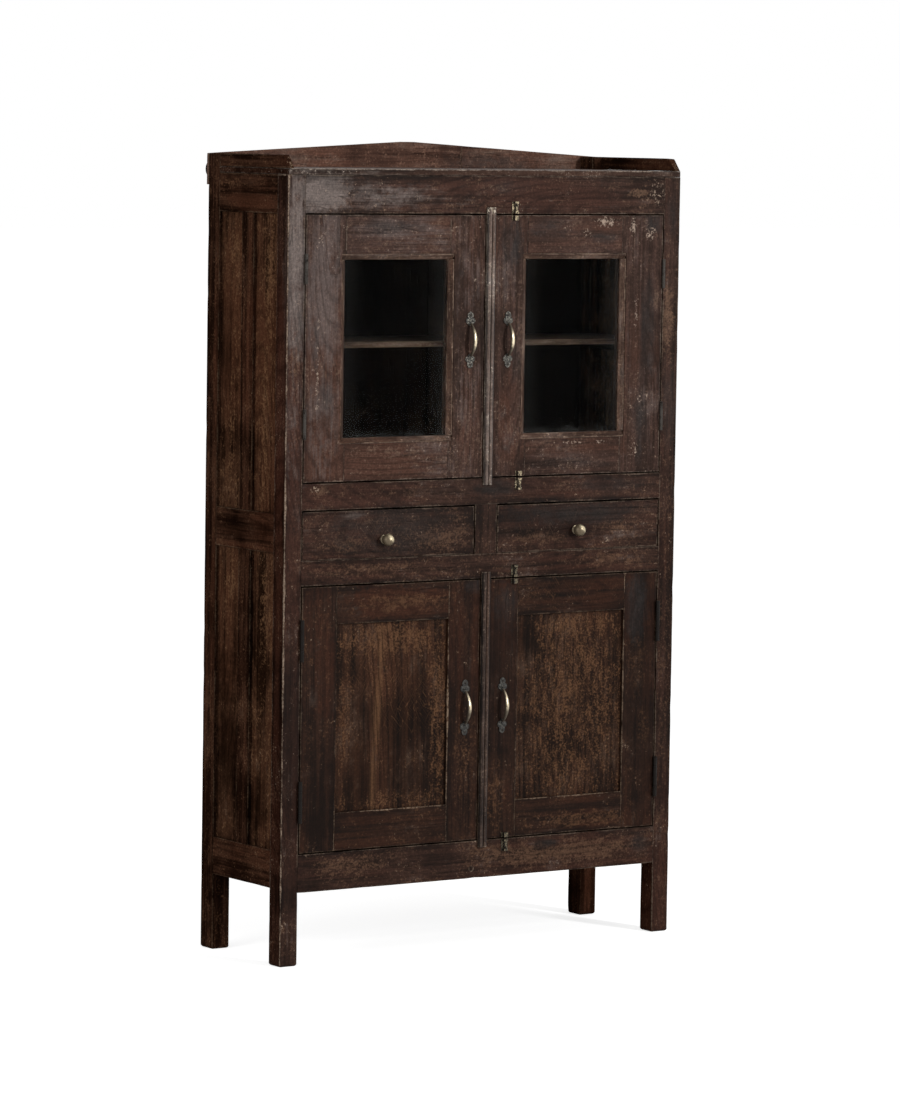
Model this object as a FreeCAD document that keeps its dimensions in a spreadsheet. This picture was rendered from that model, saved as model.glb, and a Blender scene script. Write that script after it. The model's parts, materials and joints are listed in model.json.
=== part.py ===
import FreeCAD, Part
import math
import os
import re

import Sketcher

# Tall framed cupboard in dark wood: two glazed doors over two drawers over two panelled doors,
# standing on the ends of its four posts, with a low gallery round three sides of the top.
# Frame: X to the right seen from the front, Y to the back, Z up, the floor at Z = 0.
# Below, every Y given to a piece counts from the front face of the case.

DOC = FreeCAD.newDocument("cupboard")
V = FreeCAD.Vector

# Driving sizes in millimetres, one group for each part of the cupboard
SIZES = {
    # Case
    "case_width": "1000",
    "case_depth": "315",
    "post_width": "42",
    "front_post_depth": "42",
    "rear_post_depth": "46",
    "foot_round": "6",
    "leg_height": "153.5",
    "bottom_rail_height": "80",
    "lower_opening_height": "560",
    "lower_drawer_rail_height": "52.5",
    "drawer_opening_height": "104.5",
    "upper_drawer_rail_height": "55.5",
    "upper_opening_height": "558",
    "top_rail_height": "79.5",
    "front_rail_thickness": "24",
    "divider_width": "56",
    "centre_offset": "4",
    # Side frames, framed like doors between the posts
    "side_frame_thickness": "24",
    "side_muntin_width": "48",
    "side_top_rail_height": "81",
    "side_middle_rail_height": "83",
    "side_middle_rail_rise": "14.5",
    "side_bottom_rail_height": "80",
    "side_bottom_rail_rise": "8.5",
    "side_panel_thickness": "9",
    "side_panel_recess": "7",
    "groove_depth": "8",
    "panel_slack": "0.3",
    # Mortise and tenon joints
    "tenon_thickness": "8",
    "tenon_shoulder": "13",
    "front_tenon_length": "28",
    "side_tenon_length": "18",
    "back_tenon_length": "24",
    "stub_tenon_length": "14",
    "door_tenon_length": "48",
    # Back
    "back_rail_thickness": "20",
    "back_rail_height": "66",
    "back_board_thickness": "10",
    "back_board_lap": "12",
    "back_board_seam": "52",
    # Top board and its gallery
    "top_board_thickness": "13",
    "gallery_height": "27",
    "side_gallery_thickness": "15",
    "gallery_rake": "22",
    "gallery_setback": "0.6",
    "back_gallery_thickness": "8",
    "back_gallery_drop": "26",
    "back_gallery_rise": "28",
    "back_gallery_flat": "32",
    "back_gallery_seam": "141",
    "staple_height": "32",
    "staple_reach": "13",
    "staple_wire": "3.6",
    "staple_inset": "6",
    # Floors and shelves inside
    "deck_thickness": "12",
    "deck_lip": "8",
    "shelf_thickness": "12",
    "shelf_setback": "52",
    "upper_shelf_height": "277",
    "lower_shelf_height": "270",
    "cleat_width": "20",
    "cleat_height": "20",
    # Doors
    "door_thickness": "24",
    "door_gap": "2.5",
    "door_proud": "0.4",
    "astragal_width": "20.4",
    "astragal_overlap": "16.5",
    "astragal_back": "5",
    "reed_radius": "4",
    "reed_spacing": "0.8",
    "upper_left_hinge_stile": "88",
    "upper_left_meeting_stile": "77",
    "upper_right_hinge_stile": "96",
    "upper_right_meeting_stile": "96",
    "lower_left_hinge_stile": "87",
    "lower_left_meeting_stile": "80",
    "lower_right_hinge_stile": "87",
    "lower_right_meeting_stile": "97",
    "upper_door_top_rail": "81",
    "upper_door_bottom_rail": "78",
    "lower_door_top_rail": "80",
    "lower_door_bottom_rail": "80",
    "door_panel_thickness": "8",
    "door_panel_recess": "7",
    "rebate_depth": "14",
    "glass_thickness": "3",
    "bead_width": "12",
    "bead_recess": "1.5",
    "bead_flat": "4",
    "bead_edge": "3",
    # Butt hinges
    "upper_hinge_length": "62",
    "upper_barrel_radius": "3.4",
    "upper_leaf_width": "18",
    "lower_hinge_length": "87",
    "lower_barrel_radius": "4.2",
    "lower_leaf_width": "21",
    "upper_left_hinge_drop": "114",
    "upper_right_hinge_drop": "128",
    "lower_left_hinge_drop": "113",
    "lower_right_hinge_drop": "110",
    "upper_hinge_rise": "123",
    "lower_hinge_rise": "110",
    "leaf_thickness": "1.6",
    "leaf_clearance": "0.3",
    "knuckle_clearance": "0.3",
    "hinge_pin_radius": "1.5",
    "pin_clearance": "0.05",
    # Bow handles
    "handle_length": "119",
    "handle_rise": "23",
    "bow_middle_width": "10",
    "bow_middle_thickness": "6.8",
    "bow_end_width": "5.6",
    "bow_end_thickness": "4.4",
    "bow_root_inset": "6",
    "leaf_end_width": "23",
    "leaf_end_height": "30",
    "leaf_end_thickness": "2",
    "lobe_radius": "4.4",
    "lobe_swell": "1.4",
    "boss_radius": "5",
    "boss_height": "2.6",
    "left_handle_inset": "36",
    "right_handle_inset": "58",
    "upper_handle_rise": "293",
    "lower_handle_rise": "287",
    # Drawers
    "drawer_front_thickness": "20",
    "drawer_recess": "0.8",
    "drawer_side_gap": "2",
    "drawer_top_gap": "3",
    "running_clearance": "0.3",
    "drawer_back_gap": "11",
    "drawer_side_thickness": "12",
    "drawer_side_height": "86",
    "drawer_front_lap": "9",
    "drawer_bottom_thickness": "6",
    "drawer_bottom_rise": "9",
    "drawer_groove_depth": "5",
    "runner_width": "22",
    "runner_height": "22",
    "guide_height": "14",
    # Turned knobs
    "knob_radius": "13",
    "knob_length": "28",
    "knob_neck_radius": "5.5",
    "knob_rose_radius": "9.5",
    "knob_rose_thickness": "2.6",
    "knob_bead_radius": "1.5",
    "left_knob_offset": "12",
    "right_knob_offset": "7",
    "left_knob_rise": "39",
    "right_knob_rise": "43",
    # Barrel bolts
    "upper_top_bolt_place": "66",
    "upper_foot_bolt_place": "84",
    "lower_top_bolt_place": "78",
    "lower_foot_bolt_place": "63",
    "bolt_plate_width": "15.5",
    "bolt_plate_height": "25",
    "bolt_plate_thickness": "1.2",
    "bolt_edge_gap": "1",
    "bolt_strap_width": "9.5",
    "bolt_strap_height": "4.5",
    "bolt_strap_wall": "1.1",
    "bolt_axis_reach": "4.4",
    "bolt_rod_radius": "2",
    "bolt_bore_clearance": "0.1",
    "bolt_knob_radius": "2.6",
    "bolt_stem_radius": "1.5",
    "keep_height": "10",
    "keep_clearance": "0.7",
    # How far a cutting solid runs past what it cuts
    "overrun": "5",
}

# Places and profiles that follow the sizes of their own piece, as shares of them
LONG_KNUCKLE_SHARE = 0.5
BOW_STATION_SHARES = (-1.0, -0.66, -0.33, 0.0, 0.33, 0.66, 1.0)
LEAF_END_SHARES = ((0, 1), (0.30, 0.80), (0.26, 0.57), (0.50, 0.38), (0.25, 0.15), (0.13, 0.03), (0, 0))
LEAF_LOBE_SHARES = ((0, 0.76), (-0.27, 0.40), (0.27, 0.40))
STAPLE_HEIGHT_SHARE = 0.5

SHEET = DOC.addObject("Spreadsheet::Sheet", "Sizes")
for row, (alias, number) in enumerate(SIZES.items(), start=1):
    SHEET.set(f"A{row}", alias.replace("_", " "))
    SHEET.set(f"B{row}", number)
    SHEET.setAlias(f"B{row}", alias)
DOC.recompute()

# Lines and levels that several pieces share, written in the driving sizes
HALF = "(case_width / 2)"
POST_INNER = "(case_width / 2 - post_width)"
FRAME_INNER = "(case_width / 2 - side_frame_thickness)"
REAR_POST = "(case_depth - rear_post_depth)"
BACK_BOARD = "(case_depth - back_board_thickness)"
BACK_RAIL = "(case_depth - back_board_thickness - back_rail_thickness)"
DRAWER_BACK = f"({BACK_RAIL} - drawer_back_gap)"
LOWER_SILL = "(leg_height + bottom_rail_height)"
LOWER_HEAD = f"({LOWER_SILL} + lower_opening_height)"
DRAWER_SILL = f"({LOWER_HEAD} + lower_drawer_rail_height)"
DRAWER_HEAD = f"({DRAWER_SILL} + drawer_opening_height)"
UPPER_SILL = f"({DRAWER_HEAD} + upper_drawer_rail_height)"
UPPER_HEAD = f"({UPPER_SILL} + upper_opening_height)"
CASE_TOP = f"({UPPER_HEAD} + top_rail_height)"
DECK_TOP = f"({CASE_TOP} + top_board_thickness)"
GALLERY_TOP = f"({DECK_TOP} + gallery_height)"
SIDE_FOOT = "(leg_height + side_bottom_rail_rise)"
SIDE_LOWER_SILL = f"({SIDE_FOOT} + side_bottom_rail_height)"
SIDE_LOWER_HEAD = f"({DRAWER_SILL} + side_middle_rail_rise)"
SIDE_UPPER_SILL = f"({SIDE_LOWER_HEAD} + side_middle_rail_height)"
SIDE_UPPER_HEAD = f"({CASE_TOP} - side_top_rail_height)"
MUNTIN_FRONT = f"((front_post_depth + {REAR_POST} - side_muntin_width) / 2)"
MUNTIN_BACK = f"({MUNTIN_FRONT} + side_muntin_width)"
RIGHT_MEETING = "(centre_offset - astragal_width / 2)"
LEFT_MEETING = f"({RIGHT_MEETING} - door_gap)"
HINGE_LINE = f"({POST_INNER} - door_gap / 2)"
LEFT_OF_DIVIDER = "(centre_offset - divider_width / 2)"
RIGHT_OF_DIVIDER = "(centre_offset + divider_width / 2)"
LOWER_DECK = f"({LOWER_SILL} + deck_lip)"
UPPER_DECK = f"({UPPER_SILL} + deck_lip)"

# The front face lies where the whole cupboard, knobs to staple, is centred on the origin
FRONT = "((knob_length - drawer_recess - case_depth - back_gallery_thickness - staple_reach) / 2)"

NODES = []


def formula(text):
    """A length written in alias words, as the sheet's own cells."""
    return re.sub(r"[a-z_]+", lambda word: "Sizes." + word[0] if word[0] in SIZES else word[0], str(text))


def bind(obj, **lengths):
    """Ties each named property of an object to a length written in alias words."""
    for name, text in lengths.items():
        obj.setExpression(name, formula(text))


def place(obj, x, y, z):
    """Ties an object's position to three lengths, Y counted from the front face."""
    obj.setExpression(".Placement.Base.x", formula(x))
    obj.setExpression(".Placement.Base.y", formula(f"{FRONT} + ({y})"))
    obj.setExpression(".Placement.Base.z", formula(z))
    return obj


def across(side, near, far):
    """The X span from near to far on the right (side 1), or mirrored on the left (side -1)."""
    return (near, far) if side > 0 else (f"-({far})", f"-({near})")


def board(x, y, z):
    """A straight board between three pairs of lengths."""
    box = DOC.addObject("Part::Box", "Board")
    bind(box, Length=f"({x[1]}) - ({x[0]})", Width=f"({y[1]}) - ({y[0]})", Height=f"({z[1]}) - ({z[0]})")
    return place(box, x[0], y[0], z[0])


def middle_span(centre, width):
    """The span of one width about a centre."""
    return f"{centre} - {width} / 2", f"{centre} + {width} / 2"


def tongue(spans, run, thick, length):
    """The bar through the middle of a rail, along axis run, that ends in its two tenons."""
    wide = 3 - run - thick
    middle = f"(({spans[thick][0]}) + ({spans[thick][1]})) / 2"
    bar = list(spans)
    bar[run] = (f"{spans[run][0]} - {length}", f"{spans[run][1]} + {length}")
    bar[thick] = middle_span(middle, "tenon_thickness")
    bar[wide] = (f"{spans[wide][0]} + tenon_shoulder", f"{spans[wide][1]} - tenon_shoulder")
    return board(*bar)


def rod(radius, x, y, z, length, rotation=None):
    """A round bar that starts at a point and stands along Z, or as the rotation turns it."""
    bar = DOC.addObject("Part::Cylinder", "Rod")
    bind(bar, Radius=radius, Height=length)
    if rotation is not None:
        bar.Placement = FreeCAD.Placement(V(0, 0, 0), rotation)
    return place(bar, x, y, z)


def group(members, name="Group"):
    """Separate solids kept side by side in one object."""
    compound = DOC.addObject("Part::Compound", name)
    compound.Links = members
    return compound


def cut(base, tools):
    """A piece with grooves, mortises or holes taken out of it."""
    piece = DOC.addObject("Part::Cut", "Cut")
    piece.Base = base
    piece.Tool = tools[0] if len(tools) == 1 else group(tools, "Tools")
    return piece


def fuse(members):
    """One solid grown together from several forms."""
    piece = DOC.addObject("Part::MultiFuse", "Fused")
    piece.Shapes = members
    piece.Refine = True
    return piece


def node(label, members):
    """Registers one named sub-part made of one or more separate solids."""
    piece = members[0] if len(members) == 1 else group(members)
    piece.Label = label
    NODES.append(piece)
    return piece


def prism(plane, points, length, x, y, z):
    """A moulding: a polygon sketched on an origin plane of its own body and padded along it."""
    body = DOC.addObject("PartDesign::Body", "Moulding")
    sketch = body.newObject("Sketcher::SketchObject", "Profile")
    sketch.AttachmentSupport = next(f for f in body.Origin.OriginFeatures if f.Role == plane)
    sketch.MapMode = "FlatFace"
    count = len(points)
    for index in range(count):
        angles = (2 * math.pi * index / count, 2 * math.pi * (index + 1) / count)
        ends = [V(math.cos(angle), math.sin(angle), 0) for angle in angles]
        sketch.addGeometry(Part.LineSegment(*ends), False)
    for index in range(count):
        sketch.addConstraint(Sketcher.Constraint("Coincident", index, 2, (index + 1) % count, 1))
    for index, point in enumerate(points):
        for kind, text in zip(("DistanceX", "DistanceY"), point):
            row = sketch.addConstraint(Sketcher.Constraint(kind, index, 1, 1.0))
            sketch.setExpression(f"Constraints[{row}]", formula(text))
    pad = body.newObject("PartDesign::Pad", "Pad")
    pad.Profile = sketch
    pad.Reversed = plane == "XZ_Plane"
    bind(pad, Length=length)
    sketch.Visibility = False
    return place(body, x, y, z)


def hinge_levels(tier, side_name):
    """The foot of each of the two hinges of one door."""
    sill, head = (UPPER_SILL, UPPER_HEAD) if tier == "upper" else (LOWER_SILL, LOWER_HEAD)
    low = f"({sill} + {tier}_hinge_rise - {tier}_hinge_length / 2)"
    high = f"({head} - {tier}_{side_name}_hinge_drop - {tier}_hinge_length / 2)"
    return low, high


def leaf_span(side, on_door):
    """The X span of a hinge leaf, on the door's side or the post's side of the hinge line."""
    if on_door:
        near = f"{HINGE_LINE} - leaf_clearance / 2 - leaf_thickness"
        far = f"{HINGE_LINE} - leaf_clearance / 2"
    else:
        near = f"{HINGE_LINE} + leaf_clearance / 2"
        far = f"{HINGE_LINE} + leaf_clearance / 2 + leaf_thickness"
    return across(side, near, far)


def leaf_plate(side, tier, level, on_door):
    """The flat plate of one hinge leaf, let into the edge of the door or of the post."""
    z = (level, f"{level} + {tier}_hinge_length")
    return board(leaf_span(side, on_door), ("0", f"{tier}_leaf_width"), z)


def leaf_mortise(side, tier, level, on_door):
    """The shallow bed of one hinge leaf, open at the face of the door or post."""
    z = (level, f"{level} + {tier}_hinge_length")
    return board(leaf_span(side, on_door), ("-overrun", f"{tier}_leaf_width"), z)


def hinge_leaf(side, tier, level, on_door):
    """A butt hinge leaf: the door's carries the long middle knuckle, the post's the two short ones."""
    length = f"{tier}_hinge_length"
    short = f"({length} * {(1 - LONG_KNUCKLE_SHARE) / 2})"
    if on_door:
        gap = f"({short} + knuckle_clearance)"
        spans = [(f"{level} + {gap}", f"{level} + {length} - {gap}")]
    else:
        spans = [(level, f"{level} + {short}"), (f"{level} + {length} - {short}", f"{level} + {length}")]
    radius = f"{tier}_barrel_radius"
    centre_x = across(side, HINGE_LINE, HINGE_LINE)[0]
    centre_y = f"-({radius} + leaf_clearance)"
    plate = leaf_plate(side, tier, level, on_door)
    forms = [plate]
    for low, high in spans:
        forms.append(rod(radius, centre_x, centre_y, low, f"({high}) - ({low})"))
        forms.append(board(leaf_span(side, on_door), (centre_y, "0"), (low, high)))
    bore_radius = "hinge_pin_radius + pin_clearance"
    bore = rod(bore_radius, centre_x, centre_y, f"{level} - overrun", f"{length} + 2 * overrun")
    return cut(fuse(forms), [bore])


def hinge_pin(side, tier, level):
    """The pin that runs the whole height of one hinge."""
    centre_x = across(side, HINGE_LINE, HINGE_LINE)[0]
    centre_y = f"-({tier}_barrel_radius + leaf_clearance)"
    return rod("hinge_pin_radius", centre_x, centre_y, level, f"{tier}_hinge_length")


SIDES = {"left": -1, "right": 1}
TIERS = ("upper", "lower")


def side_panel_fields():
    """The four openings of a side frame, as pairs of Y and Z spans."""
    columns = (("front_post_depth", MUNTIN_FRONT), (MUNTIN_BACK, REAR_POST))
    rows = ((SIDE_LOWER_SILL, SIDE_LOWER_HEAD), (SIDE_UPPER_SILL, SIDE_UPPER_HEAD))
    return [(column, row) for row in rows for column in columns]


def side_panel(side, field, reach, ease):
    """A board in the plane of one side panel, reaching into the frame round its field."""
    column, row = field
    near = f"{HALF} - side_panel_recess - side_panel_thickness - {ease}"
    far = f"{HALF} - side_panel_recess + {ease}"
    y = (f"{column[0]} - {reach}", f"{column[1]} + {reach}")
    z = (f"{row[0]} - {reach}", f"{row[1]} + {reach}")
    return board(across(side, near, far), y, z)


def panel_rooms(side):
    """The grooves of one side frame, as the room of all its panels."""
    return [side_panel(side, field, "groove_depth", "panel_slack") for field in side_panel_fields()]


FRONT_RAILS = {
    "top_front_rail": (UPPER_HEAD, CASE_TOP),
    "upper_drawer_rail": (DRAWER_HEAD, UPPER_SILL),
    "lower_drawer_rail": (LOWER_HEAD, DRAWER_SILL),
    "bottom_front_rail": ("leg_height", LOWER_SILL),
}


def front_rail_spans(z):
    """The room between the front posts that a front rail takes."""
    return (f"-{POST_INNER}", POST_INNER), ("0", "front_rail_thickness"), z


def side_rail_spans(side):
    """The three rails of one side frame, between its posts."""
    x = across(side, FRAME_INNER, HALF)
    y = ("front_post_depth", REAR_POST)
    levels = ((SIDE_FOOT, SIDE_LOWER_SILL), (SIDE_LOWER_HEAD, SIDE_UPPER_SILL), (SIDE_UPPER_HEAD, CASE_TOP))
    return [(x, y, z) for z in levels]


def back_rail_spans():
    """The four rails between the rear posts, two of them under the floors."""
    levels = (
        (SIDE_FOOT, f"({LOWER_DECK} - deck_thickness)"),
        (f"{DRAWER_SILL} - back_rail_height", DRAWER_SILL),
        (f"{UPPER_DECK} - deck_thickness - back_rail_height", f"({UPPER_DECK} - deck_thickness)"),
        (f"{CASE_TOP} - back_rail_height", CASE_TOP),
    )
    return [((f"-{POST_INNER}", POST_INNER), (BACK_RAIL, BACK_BOARD), z) for z in levels]


def post(side, rear, mortises):
    """One post, its foot rounded, with its mortises, panel grooves and beds for hinges or back boards."""
    y = (REAR_POST, "case_depth") if rear else ("0", "front_post_depth")
    top = GALLERY_TOP if rear else CASE_TOP
    blank = board(across(side, POST_INNER, HALF), y, ("0", top))
    DOC.recompute()
    foot = DOC.addObject("Part::Fillet", "Foot")
    foot.Base = blank
    edges = blank.Shape.Edges
    low = [i + 1 for i, edge in enumerate(edges) if edge.BoundBox.ZMax < SHEET.foot_round]
    foot.Edges = [(index, SHEET.foot_round, SHEET.foot_round) for index in low]
    tools = panel_rooms(side) + mortises
    if rear:
        lap = across(side, f"{POST_INNER} - overrun", f"{POST_INNER} + back_board_lap")
        tools.append(board(lap, (BACK_BOARD, "case_depth + overrun"), (SIDE_FOOT, CASE_TOP)))
    else:
        for tier in TIERS:
            for level in hinge_levels(tier, "left" if side < 0 else "right"):
                tools.append(leaf_mortise(side, tier, level, False))
    return cut(foot, tools)


def case_frame():
    """Posts, and the rails, muntins and panels of the front and the sides, tenoned together."""
    divider = ((LEFT_OF_DIVIDER, RIGHT_OF_DIVIDER), ("0", "front_rail_thickness"), (DRAWER_SILL, DRAWER_HEAD))
    divider_tongue = tongue(divider, 2, 1, "stub_tenon_length")
    node("drawer_divider", [fuse([board(*divider), divider_tongue])])
    front_tongues = []
    for label, z in FRONT_RAILS.items():
        spans = front_rail_spans(z)
        front_tongues.append(tongue(spans, 0, 1, "front_tenon_length"))
        rail = fuse([board(*spans), front_tongues[-1]])
        node(label, [cut(rail, [divider_tongue]) if "drawer" in label else rail])

    back_tongues = [tongue(spans, 0, 1, "back_tenon_length") for spans in back_rail_spans()]
    rails, muntins, panels, front_posts, rear_posts = [], [], [], [], []
    gaps = ((SIDE_LOWER_SILL, SIDE_LOWER_HEAD), (SIDE_UPPER_SILL, SIDE_UPPER_HEAD))
    for side in SIDES.values():
        uprights = [(across(side, FRAME_INNER, HALF), (MUNTIN_FRONT, MUNTIN_BACK), z) for z in gaps]
        stubs = [tongue(spans, 2, 0, "stub_tenon_length") for spans in uprights]
        side_tongues = [tongue(spans, 1, 0, "side_tenon_length") for spans in side_rail_spans(side)]
        for spans, tenons in zip(side_rail_spans(side), side_tongues):
            rails.append(cut(fuse([board(*spans), tenons]), panel_rooms(side) + stubs))
        for spans, tenons in zip(uprights, stubs):
            muntins.append(cut(fuse([board(*spans), tenons]), panel_rooms(side)))
        reach = "(groove_depth - panel_slack)"
        panels.extend(side_panel(side, field, reach, "0") for field in side_panel_fields())
        front_posts.append(post(side, False, front_tongues + side_tongues))
        rear_posts.append(post(side, True, back_tongues + side_tongues))
    node("front_posts", front_posts)
    node("rear_posts", rear_posts)
    node("side_rails", rails)
    node("side_muntins", muntins)
    node("side_panels", panels)


def case_back():
    """Rails between the rear posts and the boards nailed over them in the posts' rebates."""
    rails = [fuse([board(*spans), tongue(spans, 0, 1, "back_tenon_length")]) for spans in back_rail_spans()]
    node("back_rails", rails)
    edge = f"({POST_INNER} + back_board_lap)"
    y = (BACK_BOARD, "case_depth")
    z = (SIDE_FOOT, CASE_TOP)
    halves = ((f"-{edge}", "back_board_seam"), ("back_board_seam", edge))
    node("back_boards", [board(x, y, z) for x in halves])


def case_top():
    """Top board notched round the rear posts, with the gallery that stands on it."""
    notches = [
        board(across(side, POST_INNER, f"{HALF} + overrun"), (REAR_POST, "case_depth + overrun"),
              (f"{CASE_TOP} - overrun", f"{DECK_TOP} + overrun"))
        for side in SIDES.values()
    ]
    plank = board((f"-{HALF}", HALF), ("0", "case_depth"), (CASE_TOP, DECK_TOP))
    node("top_board", [cut(plank, notches)])

    profile = [
        ("gallery_setback", "0"),
        (REAR_POST, "0"),
        (REAR_POST, "gallery_height"),
        ("gallery_setback + gallery_rake", "gallery_height"),
    ]
    width = "side_gallery_thickness"
    starts = (f"-{HALF}", f"{HALF} - {width}")
    node("side_galleries", [prism("YZ_Plane", profile, width, x, "0", DECK_TOP) for x in starts])

    drop = "-(top_board_thickness + back_gallery_drop)"
    slope = f"back_gallery_rise / ({HALF} - back_gallery_flat / 2)"
    seam_rise = f"gallery_height + ({HALF} - back_gallery_seam) * {slope}"
    peak = "gallery_height + back_gallery_rise"
    left = [
        (f"-{HALF}", drop),
        ("back_gallery_seam", drop),
        ("back_gallery_seam", seam_rise),
        ("back_gallery_flat / 2", peak),
        ("-back_gallery_flat / 2", peak),
        (f"-{HALF}", "gallery_height"),
    ]
    right = [
        ("back_gallery_seam", drop),
        (HALF, drop),
        (HALF, "gallery_height"),
        ("back_gallery_seam", seam_rise),
    ]
    boards = [
        prism("XZ_Plane", points, "back_gallery_thickness", "0", "case_depth", DECK_TOP)
        for points in (left, right)
    ]
    node("back_gallery", boards)


def staple():
    """The bent iron wire driven into the back near the top left corner."""
    half_height = SHEET.staple_height / 2 - SHEET.staple_wire / 2
    reach = SHEET.staple_reach - SHEET.staple_wire / 2
    arc = Part.Arc(V(0, 0, -half_height), V(0, reach, 0), V(0, 0, half_height)).toShape()
    start = arc.tangentAt(arc.FirstParameter)
    ring = Part.Wire(Part.Circle(V(0, 0, -half_height), start, SHEET.staple_wire / 2).toShape())
    wire = Part.Wire(arc).makePipeShell([ring], True, False)
    behind = Part.makeBox(
        SHEET.staple_height, SHEET.staple_height, 2 * SHEET.staple_height,
        V(-SHEET.staple_height / 2, 0, -SHEET.staple_height),
    )
    eye = DOC.addObject("Part::Feature", "Staple")
    eye.Shape = wire.common(behind)
    level = f"{CASE_TOP} + top_board_thickness * {STAPLE_HEIGHT_SHARE}"
    place(eye, f"-({HALF} - staple_inset)", "case_depth + back_gallery_thickness", level)
    node("rear_staple", [eye])


def post_rooms(level):
    """The room that the four posts take out of a floor or shelf at one level."""
    z = (f"{level} - overrun - deck_thickness", f"{level} + overrun")
    rooms = []
    for side in SIDES.values():
        x = across(side, POST_INNER, f"{HALF} + overrun")
        rooms.append(board(x, ("-overrun", "front_post_depth"), z))
        rooms.append(board(x, (REAR_POST, "case_depth + overrun"), z))
    return rooms


def inside():
    """Floors, shelves, the cleats that carry them and the runners of the drawers."""
    x = (f"-{FRAME_INNER}", FRAME_INNER)
    y = ("front_rail_thickness", BACK_BOARD)
    for label, level in (("lower_deck", LOWER_DECK), ("upper_deck", UPPER_DECK)):
        floor = board(x, y, (f"{level} - deck_thickness", level))
        node(label, [cut(floor, post_rooms(level))])
    shelf_levels = (f"({LOWER_SILL} + lower_shelf_height)", f"({UPPER_SILL} + upper_shelf_height)")
    shelves = []
    for level in shelf_levels:
        plank = board(x, ("shelf_setback", BACK_BOARD), (level, f"{level} + shelf_thickness"))
        shelves.append(cut(plank, post_rooms(f"{level} + shelf_thickness")))
    node("shelves", shelves)

    cleats = []
    carried = [f"({level} - deck_thickness)" for level in (LOWER_DECK, UPPER_DECK)] + list(shelf_levels)
    for level in carried:
        for side in SIDES.values():
            span = across(side, f"{FRAME_INNER} - cleat_width", FRAME_INNER)
            cleats.append(board(span, ("front_post_depth", REAR_POST), (f"{level} - cleat_height", level)))
    node("shelf_cleats", cleats)

    y = ("front_rail_thickness", BACK_RAIL)
    z = (f"{DRAWER_SILL} - runner_height", DRAWER_SILL)
    outer = [board(across(side, f"{POST_INNER} - runner_width", POST_INNER), y, z) for side in SIDES.values()]
    middle = board((f"{LEFT_OF_DIVIDER} - runner_width", f"{RIGHT_OF_DIVIDER} + runner_width"), y, z)
    guide = board(
        (f"{LEFT_OF_DIVIDER} + drawer_side_gap", f"{RIGHT_OF_DIVIDER} - drawer_side_gap"),
        y, (DRAWER_SILL, f"{DRAWER_SILL} + guide_height"),
    )
    node("drawer_runners", outer + [fuse([middle, guide])])


def bow(spring, base):
    """The grip of a pull: an oval bar, wide and thick in the middle, bent to an arc between its roots."""
    crown = SHEET.handle_rise - SHEET.bow_middle_thickness / 2 - base
    radius = (spring ** 2 + crown ** 2) / (2 * crown)
    sweep = math.asin(spring / radius)
    rings = []
    for share in BOW_STATION_SHARES:
        angle = sweep * share
        outward = V(0, -math.cos(angle), math.sin(angle))
        centre = V(0, radius - crown - base, 0) + outward * radius
        swell = math.cos(math.pi / 2 * share) ** 2
        width = SHEET.bow_end_width + swell * (SHEET.bow_middle_width - SHEET.bow_end_width)
        depth = SHEET.bow_end_thickness + swell * (SHEET.bow_middle_thickness - SHEET.bow_end_thickness)
        section = Part.Ellipse(centre + V(width / 2, 0, 0), centre + outward * (depth / 2), centre)
        rings.append(Part.Wire(section.toShape()))
    return Part.makeLoft(rings, True)


def leaf_lobe(base, x, z):
    """The swelling of one lobe: a cap of a sphere that rises from the leaf's face."""
    lobe, swell = SHEET.lobe_radius, SHEET.lobe_swell
    radius = (lobe ** 2 + swell ** 2) / (2 * swell)
    ball = Part.makeSphere(radius, V(x, radius - base - swell, z))
    front = Part.makeBox(2 * lobe, base / 2 + swell, 2 * lobe, V(x - lobe, -(base + swell), z - lobe))
    return ball.common(front)


def leaf_end(end, base):
    """The leaf at the upper (1) or lower (-1) end of a pull, with its three lobes and the bow's boss."""
    width, height = SHEET.leaf_end_width, SHEET.leaf_end_height
    inner = SHEET.handle_length / 2 - height
    right_edge = [V(p * width, 0, end * (inner + q * height)) for p, q in LEAF_END_SHARES]
    left_edge = [V(-point.x, 0, point.z) for point in right_edge]
    arcs = [
        Part.Arc(*points).toShape()
        for edge in (right_edge, left_edge)
        for points in zip(edge[::2], edge[1::2], edge[2::2])
    ]
    outline = Part.Wire(Part.__sortEdges__(arcs))
    forms = [Part.Face(outline).extrude(V(0, -base, 0))]
    forms += [leaf_lobe(base, p * width, end * (inner + q * height)) for p, q in LEAF_LOBE_SHARES]
    root = V(0, 0, end * (inner + SHEET.bow_root_inset))
    forms.append(Part.makeCone(
        SHEET.boss_radius, SHEET.bow_end_width / 2, base + SHEET.boss_height, root, V(0, -1, 0),
    ))
    return forms


def bow_handle(label, x, z):
    """A cast pull: a bow that springs from a leaf with three lobes at each end."""
    base = SHEET.leaf_end_thickness
    spring = SHEET.handle_length / 2 - SHEET.leaf_end_height + SHEET.bow_root_inset
    handle = DOC.addObject("Part::Feature", "Handle")
    handle.Shape = bow(spring, base).fuse(leaf_end(-1, base) + leaf_end(1, base)).removeSplitter()
    place(handle, x, "-door_proud", z)
    node(label, [handle])


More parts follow.
